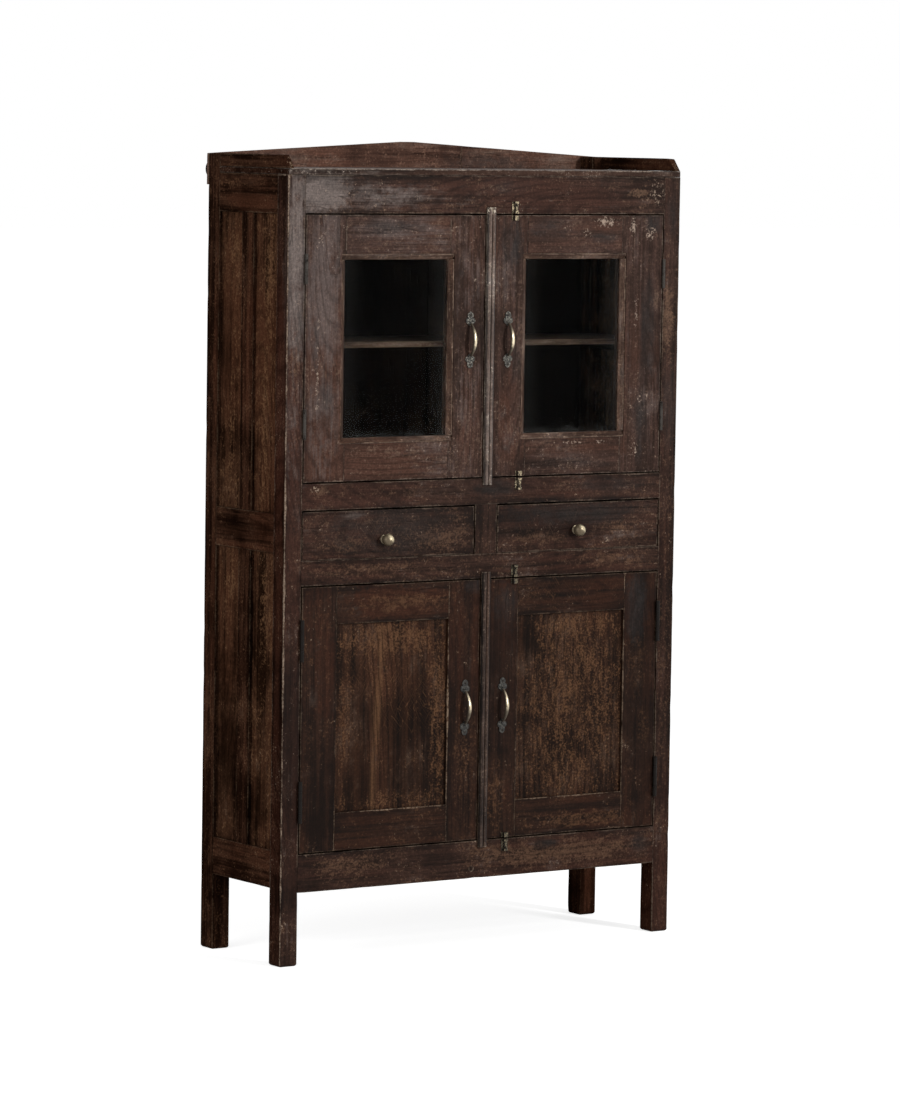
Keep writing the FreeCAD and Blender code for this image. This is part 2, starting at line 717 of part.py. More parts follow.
def reeded_astragal(label, start, length):
    """Two half-round reeds side by side on a flat back, which leaves a fillet at each edge."""
    face = "-(door_proud + astragal_back)"
    across_back = middle_span("centre_offset", "astragal_width")
    forms = [board(across_back, (face, "-door_proud"), (start, f"{start} + {length}"))]
    for side in SIDES.values():
        centre = f"centre_offset + {side} * (reed_radius + reed_spacing / 2)"
        reed = rod("reed_radius", centre, face, start, length)
        reed.Angle = 180
        reed.Placement.Rotation = FreeCAD.Rotation(V(0, 0, 1), 180)
        forms.append(reed)
    node(label, [fuse(forms)])


def door_outline(tier, side_name):
    """The X and Z spans of one door inside its opening."""
    sill, head = (UPPER_SILL, UPPER_HEAD) if tier == "upper" else (LOWER_SILL, LOWER_HEAD)
    z = (f"({sill} + door_gap)", f"({head} - door_gap)")
    if side_name == "left":
        return (f"(-{POST_INNER} + door_gap)", LEFT_MEETING), z
    return (RIGHT_MEETING, f"({POST_INNER} - door_gap)"), z


def door_daylight(tier, side_name):
    """The X and Z spans of the opening inside one door's stiles and rails."""
    x, z = door_outline(tier, side_name)
    order = ("hinge", "meeting") if side_name == "left" else ("meeting", "hinge")
    widths = [f"{tier}_{side_name}_{part}_stile" for part in order]
    inner_x = (f"({x[0]} + {widths[0]})", f"({x[1]} - {widths[1]})")
    inner_z = (f"({z[0]} + {tier}_door_bottom_rail)", f"({z[1]} - {tier}_door_top_rail)")
    return inner_x, inner_z


def door_frame(tier, side_name, lip, rooms):
    """Stiles the full height of a door and rails tenoned between them, cut by the given rooms."""
    x, z = door_outline(tier, side_name)
    inner_x, inner_z = door_daylight(tier, side_name)
    y = ("-door_proud", "door_thickness - door_proud")
    edges = (f"{inner_x[0]} + {lip}", f"{inner_x[1]} - {lip}")
    side = SIDES[side_name]
    mortises = [leaf_mortise(side, tier, level, True) for level in hinge_levels(tier, side_name)]
    tongues = [
        tongue((edges, y, (z[0], inner_z[0])), 0, 1, "door_tenon_length"),
        tongue((edges, y, (inner_z[1], z[1])), 0, 1, "door_tenon_length"),
    ]
    bars = [
        board(edges, y, (z[0], f"{inner_z[0]} + {lip}")),
        board(edges, y, (f"{inner_z[1]} - {lip}", z[1])),
    ]
    rails = [cut(fuse([bar, tenons]), rooms) for bar, tenons in zip(bars, tongues)]
    stiles = [board((x[0], edges[0]), y, z), board((edges[1], x[1]), y, z)]
    hinge_stile = 0 if side < 0 else 1
    stiles = [
        cut(stile, rooms + tongues + (mortises if index == hinge_stile else []))
        for index, stile in enumerate(stiles)
    ]
    node(f"{tier}_{side_name}_door_stiles", stiles)
    node(f"{tier}_{side_name}_door_rails", rails)


def door_fittings(tier, side_name):
    """Handle, hinge leaves and, on a right door, the astragal and the bolts' keeps."""
    x, z = door_outline(tier, side_name)
    side = SIDES[side_name]
    sill = UPPER_SILL if tier == "upper" else LOWER_SILL
    if side < 0:
        handle_x = f"{LEFT_MEETING} - left_handle_inset"
    else:
        handle_x = f"{RIGHT_MEETING} + right_handle_inset"
    bow_handle(f"{tier}_{side_name}_handle", handle_x, f"{sill} + {tier}_handle_rise")
    leaves = [hinge_leaf(side, tier, level, True) for level in hinge_levels(tier, side_name)]
    node(f"{tier}_{side_name}_hinge_leaves", leaves)
    if side > 0:
        length = f"({z[1]}) - ({z[0]}) + 2 * astragal_overlap"
        reeded_astragal(f"{tier}_astragal", f"{z[0]} - astragal_overlap", length)
        node(f"{tier}_bolt_keeps", [bolt_keep(tier, end) for end in BOLT_ENDS])


def glazed_door(side_name):
    """An upper door: rebated frame, pane and four sloping beads in front of it."""
    inner_x, inner_z = door_daylight("upper", side_name)
    seat = "(rebate_depth - door_proud)"
    rebate = board(inner_x, ("-door_proud - overrun", seat), inner_z)
    door_frame("upper", side_name, "bead_width", [rebate])
    x = (f"{inner_x[0]} + panel_slack", f"{inner_x[1]} - panel_slack")
    z = (f"{inner_z[0]} + panel_slack", f"{inner_z[1]} - panel_slack")
    node(f"upper_{side_name}_glass", [board(x, (f"{seat} - glass_thickness", seat), z)])

    depth = "(rebate_depth - glass_thickness - bead_recess)"
    slope = [
        ("0", "0"),
        ("bead_flat", "0"),
        ("bead_width", f"{depth} - bead_edge"),
        ("bead_width", depth),
        ("0", depth),
    ]
    front = "bead_recess - door_proud"
    height = f"({inner_z[1]}) - ({inner_z[0]}) - 2 * bead_width"
    width = f"({inner_x[1]}) - ({inner_x[0]})"
    start = f"{inner_z[0]} + bead_width"
    left = prism("XY_Plane", slope, height, inner_x[0], front, start)
    flipped = [(f"-({a})", b) for a, b in slope]
    right = prism("XY_Plane", flipped, height, inner_x[1], front, start)
    bottom = prism("YZ_Plane", [(b, a) for a, b in slope], width, inner_x[0], front, inner_z[0])
    top = prism("YZ_Plane", [(b, f"-({a})") for a, b in slope], width, inner_x[0], front, inner_z[1])
    node(f"upper_{side_name}_beads", [left, right, bottom, top])
    door_fittings("upper", side_name)


def panelled_door(side_name):
    """A lower door: grooved frame round one flat panel."""
    inner_x, inner_z = door_daylight("lower", side_name)
    front = "door_panel_recess - door_proud"
    back = f"{front} + door_panel_thickness"
    reach = "groove_depth"
    room = board(
        (f"{inner_x[0]} - {reach}", f"{inner_x[1]} + {reach}"),
        (f"{front} - panel_slack", f"{back} + panel_slack"),
        (f"{inner_z[0]} - {reach}", f"{inner_z[1]} + {reach}"),
    )
    door_frame("lower", side_name, "0", [room])
    reach = "(groove_depth - panel_slack)"
    panel = board(
        (f"{inner_x[0]} - {reach}", f"{inner_x[1]} + {reach}"), (front, back),
        (f"{inner_z[0]} - {reach}", f"{inner_z[1]} + {reach}"),
    )
    node(f"lower_{side_name}_panel", [panel])
    door_fittings("lower", side_name)


# Each bolt stands on the rail above (1) or below (-1) a right door and slides towards it
BOLT_ENDS = {"top": 1, "foot": -1}


def bolt_edge(tier, end):
    """The edge of the rail that a bolt stands beside."""
    edges = {
        ("upper", "top"): UPPER_HEAD, ("upper", "foot"): UPPER_SILL,
        ("lower", "top"): LOWER_HEAD, ("lower", "foot"): LOWER_SILL,
    }
    return edges[(tier, end)]


def away(end, edge, near, far):
    """The Z span from near to far, counted from an edge into the rail."""
    if BOLT_ENDS[end] > 0:
        return f"{edge} + {near}", f"{edge} + {far}"
    return f"{edge} - ({far})", f"{edge} - ({near})"


def bolt_strap(place_x, end, edge, near, far, base):
    """One strap that bridges the rod, standing on its plate."""
    outer = "-(bolt_axis_reach + bolt_rod_radius + keep_clearance + bolt_strap_wall)"
    return board(middle_span(place_x, "bolt_strap_width"), (outer, base), away(end, edge, near, far))


def bolt_bore(place_x, end, edge, near, far):
    """The round way that a rod runs in, past both ends of what it pierces."""
    low, high = away(end, edge, near, far)
    start = f"{low} - overrun"
    length = f"({high}) - ({low}) + 2 * overrun"
    return rod("bolt_rod_radius + bolt_bore_clearance", place_x, "-bolt_axis_reach", start, length)


def bolt_guide(tier, end):
    """The plate on the rail with the two straps that guide a rod."""
    place_x = f"{tier}_{end}_bolt_place"
    edge = bolt_edge(tier, end)
    far = "(bolt_edge_gap + bolt_plate_height)"
    plate = board(
        middle_span(place_x, "bolt_plate_width"), ("-bolt_plate_thickness", "0"),
        away(end, edge, "bolt_edge_gap", far),
    )
    straps = [
        bolt_strap(place_x, end, edge, "bolt_edge_gap", "bolt_edge_gap + bolt_strap_height", "0"),
        bolt_strap(place_x, end, edge, f"({far} - bolt_strap_height)", far, "0"),
    ]
    bore = bolt_bore(place_x, end, edge, "bolt_edge_gap", far)
    return cut(fuse([plate] + straps), [bore])


def bolt_rod(tier, end):
    """The sliding rod, drawn back, with the small knob between the straps."""
    place_x = f"{tier}_{end}_bolt_place"
    edge = bolt_edge(tier, end)
    low, high = away(end, edge, "bolt_edge_gap", "(bolt_edge_gap + bolt_plate_height)")
    bar = rod("bolt_rod_radius", place_x, "-bolt_axis_reach", low, f"({high}) - ({low})")
    rest = "(bolt_edge_gap + bolt_plate_height - bolt_strap_height - bolt_knob_radius - running_clearance)"
    level = away(end, edge, rest, rest)[0]
    forward = FreeCAD.Rotation(V(1, 0, 0), 90)
    reach = "(bolt_rod_radius + bolt_knob_radius)"
    stem = rod("bolt_stem_radius", place_x, "-bolt_axis_reach", level, reach, forward)
    knob = DOC.addObject("Part::Sphere", "BoltKnob")
    bind(knob, Radius="bolt_knob_radius")
    place(knob, place_x, f"-(bolt_axis_reach + {reach})", level)
    node(f"{tier}_{end}_bolt_rod", [fuse([bar, stem, knob])])


def bolt_keep(tier, end):
    """The short keep on the door's face that takes the end of the rod."""
    place_x = f"{tier}_{end}_bolt_place"
    edge = bolt_edge(tier, end)
    near = "-(door_gap + bolt_edge_gap + keep_height)"
    far = "-(door_gap + bolt_edge_gap)"
    plate = board(
        middle_span(place_x, "bolt_plate_width"), ("-bolt_plate_thickness", "-door_proud"),
        away(end, edge, near, far),
    )
    strap = bolt_strap(place_x, end, edge, near, far, "-door_proud")
    room = "(bolt_rod_radius + keep_clearance)"
    low, high = away(end, edge, near, far)
    tunnel = board(
        middle_span(place_x, f"({room} * 2)"),
        (f"-(bolt_axis_reach + {room})", f"-(bolt_axis_reach - {room})"),
        (f"{low} - overrun", f"{high} + overrun"),
    )
    return cut(fuse([plate, strap]), [tunnel])


def drawer(side_name):
    """A drawer: front, two sides, back and bottom, with its turned knob."""
    if side_name == "left":
        x = (f"(-{POST_INNER} + drawer_side_gap)", f"({LEFT_OF_DIVIDER} - drawer_side_gap)")
    else:
        x = (f"({RIGHT_OF_DIVIDER} + drawer_side_gap)", f"({POST_INNER} - drawer_side_gap)")
    floor = f"({DRAWER_SILL} + running_clearance)"
    face_back = "(drawer_recess + drawer_front_thickness)"
    inner = (f"({x[0]} + drawer_side_thickness)", f"({x[1]} - drawer_side_thickness)")
    bottom_low = f"({floor} + drawer_bottom_rise)"
    bottom_z = (bottom_low, f"({bottom_low} + drawer_bottom_thickness)")
    side_top = f"{floor} + drawer_side_height"
    groove = board(
        (f"{inner[0]} - drawer_groove_depth", f"{inner[1]} + drawer_groove_depth"),
        (f"{face_back} - drawer_groove_depth", f"{DRAWER_BACK} + overrun"), bottom_z,
    )
    sides = [
        board(span, (f"{face_back} - drawer_front_lap", DRAWER_BACK), (floor, side_top))
        for span in ((x[0], inner[0]), (inner[1], x[1]))
    ]
    front = board(x, ("drawer_recess", face_back), (floor, f"{DRAWER_HEAD} - drawer_top_gap"))
    node(f"{side_name}_drawer_front", [cut(front, [groove] + sides)])
    walls = [cut(side, [groove]) for side in sides]
    back = board(inner, (f"{DRAWER_BACK} - drawer_side_thickness", DRAWER_BACK), (bottom_z[1], side_top))
    tongue_reach = "(drawer_groove_depth - panel_slack)"
    bottom = board(
        (f"{inner[0]} - {tongue_reach}", f"{inner[1]} + {tongue_reach}"),
        (f"{face_back} - {tongue_reach}", DRAWER_BACK), bottom_z,
    )
    node(f"{side_name}_drawer_box", walls + [back, bottom])

    centre = f"(({x[0]}) + ({x[1]})) / 2 - {side_name}_knob_offset"
    turned_knob(f"{side_name}_drawer_knob", centre, f"{DRAWER_SILL} + {side_name}_knob_rise")


def turned_knob(label, x, z):
    """A ball knob on a waisted neck that stands on a stepped rose, with a bead round the neck."""
    forward = FreeCAD.Rotation(V(1, 0, 0), 90)
    rose = DOC.addObject("Part::Cone", "Rose")
    rose_top = "knob_neck_radius + knob_bead_radius"
    bind(rose, Radius1="knob_rose_radius", Radius2=rose_top, Height="knob_rose_thickness")
    rose.Placement = FreeCAD.Placement(V(0, 0, 0), forward)
    place(rose, x, "drawer_recess", z)
    neck = rod("knob_neck_radius", x, "drawer_recess", z, "knob_length - knob_radius", forward)
    bead = DOC.addObject("Part::Torus", "Bead")
    bind(bead, Radius1="knob_neck_radius", Radius2="knob_bead_radius")
    bead.Placement = FreeCAD.Placement(V(0, 0, 0), forward)
    place(bead, x, "drawer_recess - knob_rose_thickness - knob_bead_radius", z)
    ball = DOC.addObject("Part::Sphere", "Ball")
    bind(ball, Radius="knob_radius")
    place(ball, x, "drawer_recess - knob_length + knob_radius", z)
    clip = board(
        middle_span(x, "(2 * knob_radius + overrun)"),
        ("drawer_recess - knob_length - overrun", "drawer_recess"),
        middle_span(z, "(2 * knob_radius + overrun)"),
    )
    whole = DOC.addObject("Part::Common", "Knob")
    whole.Base = fuse([rose, neck, bead, ball])
    whole.Tool = clip
    node(label, [whole])


def hardware():
    """Hinge leaves on the posts, hinge pins, and the bolts' guides and rods."""
    frame_leaves = []
    pins = []
    for tier in TIERS:
        for side_name, side in SIDES.items():
            for level in hinge_levels(tier, side_name):
                frame_leaves.append(hinge_leaf(side, tier, level, False))
                pins.append(hinge_pin(side, tier, level))
    node("hinge_frame_leaves", frame_leaves)
    node("hinge_pins", pins)
    node("bolt_guides", [bolt_guide(tier, end) for tier in TIERS for end in BOLT_ENDS])
    for tier in TIERS:
        for end in BOLT_ENDS:
            bolt_rod(tier, end)


def write_parts():
    """Recomputes, checks every object and writes one file for each sub-part."""
    DOC.recompute()
    for obj in DOC.Objects:
        if "Invalid" in obj.State or "Error" in obj.State:
            raise RuntimeError(f"{obj.Label} failed: {obj.State}")
    os.makedirs("parts", exist_ok=True)
    for piece in NODES:
        shape = piece.Shape
        if shape.isNull() or not shape.isValid() or not shape.Solids:
            raise RuntimeError(f"{piece.Label} has no valid solid")
        shape.exportStep(f"parts/{piece.Label}.step")
        print(f"{piece.Label}: {len(shape.Solids)} solids, {shape.Volume / 1000:.1f} cm3")


case_frame()
case_back()
case_top()
staple()
inside()
for name in SIDES:
    glazed_door(name)
    panelled_door(name)
    drawer(name)
hardware()
write_parts()
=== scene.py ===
import json
import math
import random

import bmesh
import bpy
from mathutils import Matrix, Vector, noise

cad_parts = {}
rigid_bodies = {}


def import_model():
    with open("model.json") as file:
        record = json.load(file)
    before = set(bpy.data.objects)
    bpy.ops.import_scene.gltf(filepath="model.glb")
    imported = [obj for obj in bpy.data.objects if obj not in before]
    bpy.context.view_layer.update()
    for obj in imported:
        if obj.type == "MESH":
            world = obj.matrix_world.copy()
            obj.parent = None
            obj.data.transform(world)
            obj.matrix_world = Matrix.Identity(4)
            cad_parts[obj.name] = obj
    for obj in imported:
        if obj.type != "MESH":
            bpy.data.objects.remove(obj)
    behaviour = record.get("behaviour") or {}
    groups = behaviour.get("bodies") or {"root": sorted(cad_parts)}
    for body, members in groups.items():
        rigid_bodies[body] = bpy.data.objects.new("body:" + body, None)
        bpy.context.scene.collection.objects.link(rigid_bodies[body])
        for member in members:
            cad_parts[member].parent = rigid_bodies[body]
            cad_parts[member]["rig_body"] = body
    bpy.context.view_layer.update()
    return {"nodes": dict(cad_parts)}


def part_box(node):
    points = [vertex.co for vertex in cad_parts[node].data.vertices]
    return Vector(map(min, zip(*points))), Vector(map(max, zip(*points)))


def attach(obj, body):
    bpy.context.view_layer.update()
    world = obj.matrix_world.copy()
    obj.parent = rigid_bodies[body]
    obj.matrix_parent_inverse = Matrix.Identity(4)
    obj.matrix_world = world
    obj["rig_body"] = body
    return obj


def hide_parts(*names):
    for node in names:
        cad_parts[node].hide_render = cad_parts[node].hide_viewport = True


# A framed crockery cupboard in dark worn teak. Everything is in metres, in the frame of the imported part:
# X to the right, Y to the back, Z up.
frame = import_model()
MM = 0.001
SCENE_SEED = 7
TIERS, SIDES = ("upper", "lower"), ("left", "right")

# The camera of the photograph, with how far it is turned to the right, tilted down and rolled
CAMERA_PLACE = (-6.0537, -8.9485, 1.7572)
CAMERA_TURNS_DEG = (34.156, 4.889, 0.841)
CAMERA_LENS = 164.4
CAMERA_SENSOR = 36.0
CAMERA_REACH = 200.0


def linear(red, green, blue):
    """A colour as Blender wants it, from its 0 to 255 values on a screen."""
    def channel(value):
        share = value / 255
        return share / 12.92 if share <= 0.04045 else ((share + 0.055) / 1.055) ** 2.4
    return (channel(red), channel(green), channel(blue), 1.0)


# Shaders, written as plain arithmetic on fields

class Field:
    """A number or a vector that varies over a surface."""

    def __init__(self, graph, socket):
        self.graph, self.socket = graph, socket

    def __add__(self, other):
        return self.graph.math("ADD", self, other)

    def __sub__(self, other):
        return self.graph.math("SUBTRACT", self, other)

    def __rsub__(self, other):
        return self.graph.math("SUBTRACT", other, self)

    def __mul__(self, other):
        return self.graph.math("MULTIPLY", self, other)

    def __truediv__(self, other):
        return self.graph.math("DIVIDE", self, other)

    __radd__ = __add__
    __rmul__ = __mul__


class Graph:
    """The node tree of one material or world."""

    def __init__(self, name, kind="materials"):
        self.owner = getattr(bpy.data, kind).new(name)
        self.owner.use_nodes = True
        self.tree = self.owner.node_tree
        self.tree.nodes.clear()

    def node(self, kind, sockets, **settings):
        made = self.tree.nodes.new("ShaderNode" + kind)
        for name, value in settings.items():
            setattr(made, name, value)
        for name, value in sockets.items():
            if isinstance(value, Field):
                self.tree.links.new(value.socket, made.inputs[name])
            else:
                made.inputs[name].default_value = value
        return made

    def field(self, kind, sockets, output=0, **settings):
        return Field(self, self.node(kind, sockets, **settings).outputs[output])

    def math(self, operation, *values, clamp=False):
        return self.field("Math", dict(enumerate(values)), operation=operation, use_clamp=clamp)

    def greater(self, first, second):
        return self.math("MAXIMUM", first, second)

    def lesser(self, first, second):
        return self.math("MINIMUM", first, second)

    def vector(self, x, y, z):
        return self.field("CombineXYZ", {0: x, 1: y, 2: z})

    def vector_math(self, operation, *values, output=0):
        return self.field("VectorMath", dict(enumerate(values)), output, operation=operation)

    def split(self, field):
        made = self.node("SeparateXYZ", {0: field})
        return [Field(self, output) for output in made.outputs]

    def attribute(self, name, output="Vector"):
        return self.field("Attribute", {}, output, attribute_name=name)

    def place(self):
        """The place in the frame of the part at rest, which stays with the piece when it moves."""
        return self.field("TexCoord", {}, "Object")

    def facing(self, direction):
        """How squarely a surface faces a direction of the part's own frame, from -1 to 1."""
        normal = self.field("TexCoord", {}, "Normal")
        return self.vector_math("DOT_PRODUCT", normal, Vector(direction).normalized(), output="Value")

    def noise(self, where, detail=4.0, rough=0.6, scale=1.0):
        sockets = {"Vector": where, "Scale": scale, "Detail": detail, "Roughness": rough}
        return self.field("TexNoise", sockets, 0)

    def step(self, field, start, end, low=0.0, high=1.0):
        """Goes smoothly from low to high while the field goes from start to end."""
        sockets = {0: field, 1: start, 2: end, 3: low, 4: high}
        return self.field("MapRange", sockets, interpolation_type="SMOOTHSTEP")

    def line(self, field, half_width):
        """One along the lines where the field passes its middle value."""
        return self.step(self.math("ABSOLUTE", field - 0.5), half_width, 0.0)

    def mix(self, share, first, second, blend="MIX"):
        sockets = {0: share, 6: first, 7: second}
        return self.field("Mix", sockets, 2, data_type="RGBA", blend_type=blend)

    def shade(self, colour, share):
        """The colour, darker where share is under one."""
        return self.mix(1.0, colour, self.vector(share, share, share), "MULTIPLY")

    def bump(self, height, distance, strength=1.0):
        return self.field("Bump", {"Height": height, "Distance": distance, "Strength": strength})

    def seen_directly(self):
        """One for rays from the camera, mirror rays and rays through glass, and zero for the rest."""
        rays = self.node("LightPath", {}).outputs
        total = 0.0
        for name in ("Is Camera Ray", "Is Glossy Ray", "Is Transmission Ray"):
            total = self.math("ADD", Field(self, rays[name]), total, clamp=True)
        return total

    def finish(self, shader, output="OutputMaterial"):
        self.tree.links.new(shader.outputs[0], self.node(output, {}).inputs["Surface"])
        return self.owner

    def surface(self, **sockets):
        named = {key.replace("_", " "): value for key, value in sockets.items()}
        return self.finish(self.node("BsdfPrincipled", named))


# Places where the wood differs

class Patch:
    """An oval place of one kind of wear: haze (a dull film with painted sheen), bare, sapwood, chips, red,
    dark, smoke, edge (worn arrises with painted highlight) or scratch.
    """

    def __init__(self, kind, centre, half, amount=1.0):
        self.kind, self.amount = kind, amount
        self.centre, self.half = Vector(centre) * MM, Vector(half) * MM


# The planes that the patches lie on, and how far they reach before and behind them, in millimetres
FACE_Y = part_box("top_front_rail")[0].y / MM
SIDE_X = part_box("side_rails")[0].x / MM
GALLERY_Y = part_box("back_gallery")[0].y / MM
PATCH_DEPTH = 24


def front(kind, *rows, depth=FACE_Y):
    """Patches on the front, in millimetres: centre x, z, half width, half height, amount if not 1."""
    return [Patch(kind, (x, depth, z), (half_x, PATCH_DEPTH, half_z), *amount)
            for x, z, half_x, half_z, *amount in rows]


def side(kind, *rows):
    """Patches on the left side, in millimetres: centre y, z, half depth, half height, amount if not 1."""
    return [Patch(kind, (SIDE_X, y, z), (PATCH_DEPTH, half_y, half_z), *amount)
            for y, z, half_y, half_z, *amount in rows]


# The front of the case: its top rail is hazy on the left, the haze partly painted sheen, and flaked at the
# right end
CASE_PATCHES = [
    *front("haze_and_sheen", (-415, 1603, 85, 55, 2.1), (-250, 1600, 150, 36, 1.3), (-20, 1602, 130, 30, 0.35),
        (-479, 1450, 46, 240, 1.8), (-479, 1080, 40, 180, 0.9), (-335, 938, 44, 12, 1.2)),
    *front("chips", (-411, 1612, 26, 15, 0.9), (-271, 1622, 26, 11, 0.9), (-275, 1584, 18, 10, 0.8),
        (-340, 1612, 50, 22, 0.5), (-180, 1597, 34, 16, 0.5), (440, 1610, 26, 36, 1.1),
        (408, 1600, 24, 14, 0.6), (-425, 994, 16, 9, 1.2)),
    *front("bare", (391, 1609, 32, 10, 1.8), (-479, 1250, 14, 50, 0.5), (472, 1340, 16, 90, 1.6),
        (-120, 880, 60, 24, 1.5), (-350, 880, 70, 20), (150, 878, 100, 22, 1.9),
        (330, 890, 90, 20, 1.2), (-60, 905, 30, 44, 0.9), (-300, 824, 170, 16),
        (330, 824, 130, 16), (-250, 985, 150, 14, 0.8), (200, 985, 60, 14, 0.8),
        (-415, 990, 30, 12, 1.6), (-330, 205, 110, 22, 1.3), (230, 195, 190, 30, 1.8),
        (40, 200, 100, 26, 1.4), (479, 600, 20, 500, 0.7)),
    *front("smoke", (40, 1620, 60, 16, 0.5), (-470, 1340, 12, 90, 0.5), (-360, 1624, 60, 10, 0.7),
        (479, 1560, 14, 40, 0.5), (479, 1150, 20, 90, 0.6), (-250, 905, 190, 56, 0.75),
        (260, 925, 210, 32, 0.85), (30, 985, 60, 20, 0.8), (320, 985, 120, 16, 0.6),
        (170, 216, 40, 10, 0.9), (420, 200, 30, 30, 0.7)),
    *front("red", (170, 1600, 210, 40, 0.9)),
    *front("dark", (-72, 1612, 34, 12, 0.6), (-479, 440, 60, 440), (180, 214, 44, 12, 0.8),
        (-120, 200, 120, 30, 0.4), (180, 905, 200, 56, 1.1), (479, 600, 40, 500, 0.3),
        (0, 985, 460, 30, 0.35), (230, 1600, 190, 40, 0.3)),
    *front("edge", (-500, 900, 8, 1500)),
    *front("scratch", (-250, 900, 150, 36, 0.9), (130, 900, 70, 36, 0.6)),
]
# The upper doors: the left has chips on its hinge stile, the right flakes at its top corner
UPPER_DOOR_PATCHES = [
    # Haze: a dull film and painted sheen, strongest on the left door
    *front("haze_and_sheen", (-413, 1400, 56, 190, 1.6), (-413, 1130, 50, 130, 1.2), (-48, 1330, 44, 260, 0.55),
        (-230, 1530, 140, 40, 0.9), (-50, 1180, 34, 100, 0.7), (425, 1200, 36, 150, 0.5),
        (50, 1450, 30, 110, 0.6)),
    *front("smoke", (-405, 1180, 20, 60, 0.6), (-230, 1535, 90, 22, 0.7), (-430, 1300, 10, 90, 0.5),
        (428, 1548, 26, 26), (60, 1500, 30, 60, 0.9), (170, 1535, 80, 24, 0.8),
        (300, 1512, 40, 12, 0.9), (418, 1320, 20, 120, 0.8), (400, 1130, 26, 90, 0.7),
        (75, 1200, 16, 120, 0.6), (240, 1040, 100, 20, 0.5)),
    *front("dark", (-215, 1543, 60, 12, 0.6), (130, 1035, 60, 22, 0.6), (410, 1280, 60, 290, 0.4),
        (15, 1320, 4, 400, 1.6)),
    *front("chips", (-418, 1504, 14, 28), (-425, 1220, 7, 120, 0.95), (-424, 1340, 6, 40, 0.7),
        (-398, 1545, 14, 14, 0.8), (-365, 1532, 12, 12, 0.7), (-20, 1552, 10, 28, 0.9),
        (-32, 1424, 6, 8, 1.1), (-356, 1090, 18, 5, 1.2), (305, 1547, 40, 17, 1.25),
        (258, 1524, 20, 11, 1.3), (376, 1538, 14, 34, 1.3), (423, 1524, 18, 28, 1.2), (387, 1350, 7, 64),
        (215, 1077, 48, 5, 1.2), (300, 1077, 24, 5, 1.2), (386, 1050, 16, 50, 0.8),
        (20, 1555, 10, 16, 0.9)),
    *front("red", (-220, 1045, 140, 34, 0.9), (60, 1150, 30, 130), (400, 1250, 50, 200, 0.8),
        (230, 1060, 150, 26, 0.8), (230, 1535, 120, 30, 0.5)),
    *front("bare", (-250, 1066, 120, 12, 0.7), (443, 1385, 11, 28, 1.8), (83, 1250, 7, 190, 0.8)),
    # Edge rows: painted highlight on the lit inner arrises of the openings
    *front("edge", (-368, 1283, 5, 200, 0.7), (-86, 1283, 5, 200, 0.7), (-86, 1530, 5, 40),
        (-227, 1086, 140, 5, 0.8)),
]
# The lower doors: dark, with bare wood on the right door's hinge stile
LOWER_DOOR_PATCHES = [
    *front("red", (-240, 757, 150, 30, 1.8), (-400, 640, 40, 130, 1.1), (60, 330, 20, 60, 0.8)),
    *front("bare", (-200, 752, 120, 18, 1.7), (-45, 410, 30, 100, 0.9), (260, 262, 150, 18, 1.6),
        (425, 450, 20, 60, 2.2), (405, 600, 34, 120, 1.7), (400, 330, 30, 90, 1.2), (40, 330, 26, 90, 1.2),
        (150, 760, 60, 16, 0.6)),
    # Edge rows: painted highlight on the lit arrises round the panels
    *front("edge", (-88, 510, 5, 240, 0.8), (-228, 316, 160, 5, 0.8), (369, 510, 5, 240, 0.6),
        (230, 316, 160, 5, 0.6), (369, 760, 5, 36, 0.8), (-369, 270, 5, 40, 0.5)),
    *front("chips", (-430, 690, 8, 22, 0.8)),
    # Haze: a dull film and painted sheen
    *front("haze_and_sheen", (-425, 560, 14, 30, 0.8), (405, 690, 24, 60, 0.6), (40, 560, 22, 70, 0.5)),
    *front("dark", (-405, 330, 50, 110, 0.6), (-50, 640, 34, 60, 0.4), (60, 420, 30, 120, 0.4),
        (410, 500, 60, 330, 0.95), (50, 600, 60, 260, 0.8), (230, 760, 170, 40, 0.5)),
    *front("smoke", (-20, 780, 30, 16, 0.8), (60, 740, 34, 50, 0.6), (400, 720, 26, 80, 0.9)),
    *front("scratch", (230, 760, 170, 36, 0.9), (-230, 760, 60, 30, 0.6)),
]
# The lower panels: the left has a streak of sapwood, the right is flecked all over
PANEL_PATCHES = [
    *front("bare", (-228, 676, 145, 40, 1.4), (-108, 520, 26, 210, 1.2), (-228, 334, 145, 22, 1.1),
        (-345, 560, 20, 160, 0.7), (235, 680, 140, 34, 1.1), (235, 510, 150, 240, 0.9),
        (330, 560, 34, 150, 0.6)),
    *front("sapwood", (-254, 640, 8, 95), (-262, 520, 8, 110), (-270, 400, 8, 110)),
    *front("dark", (-305, 460, 36, 160, 0.9), (-185, 440, 62, 130, 0.8), (120, 660, 24, 60, 0.7),
        (250, 470, 20, 90, 0.4)),
    *front("scratch", (-190, 560, 90, 80), (-300, 600, 50, 60, 0.7), (250, 600, 100, 80, 0.6)),
]
# The front edge of the top board
TOP_PATCHES = [
    # Haze: a dull film and painted sheen
    *front("haze_and_sheen", (-420, 1650, 180, 20, 1.2), (410, 1650, 90, 20, 0.7)),
    *front("chips", (-430, 1650, 120, 12, 0.7)),
    # Edge row: painted highlight along the lit top arris
    *front("edge", (0, 1658, 800, 4, 0.9)),
    *front("red", (100, 1650, 260, 20)),
]
# The rails and posts of the left side, and the front ends of both side galleries
SIDE_PATCHES = [
    *side("dark", (0, 1600, 60, 30, 0.5), (10, 900, 130, 30)),
    *side("bare", (60, 1622, 90, 10, 0.9)),
    *side("red", (0, 1600, 120, 30, 0.8), (138, 900, 20, 800, 0.8)),
    *front("chips", (-492, 1670, 10, 22, 1.5), (492, 1670, 10, 22, 1.8)),
]
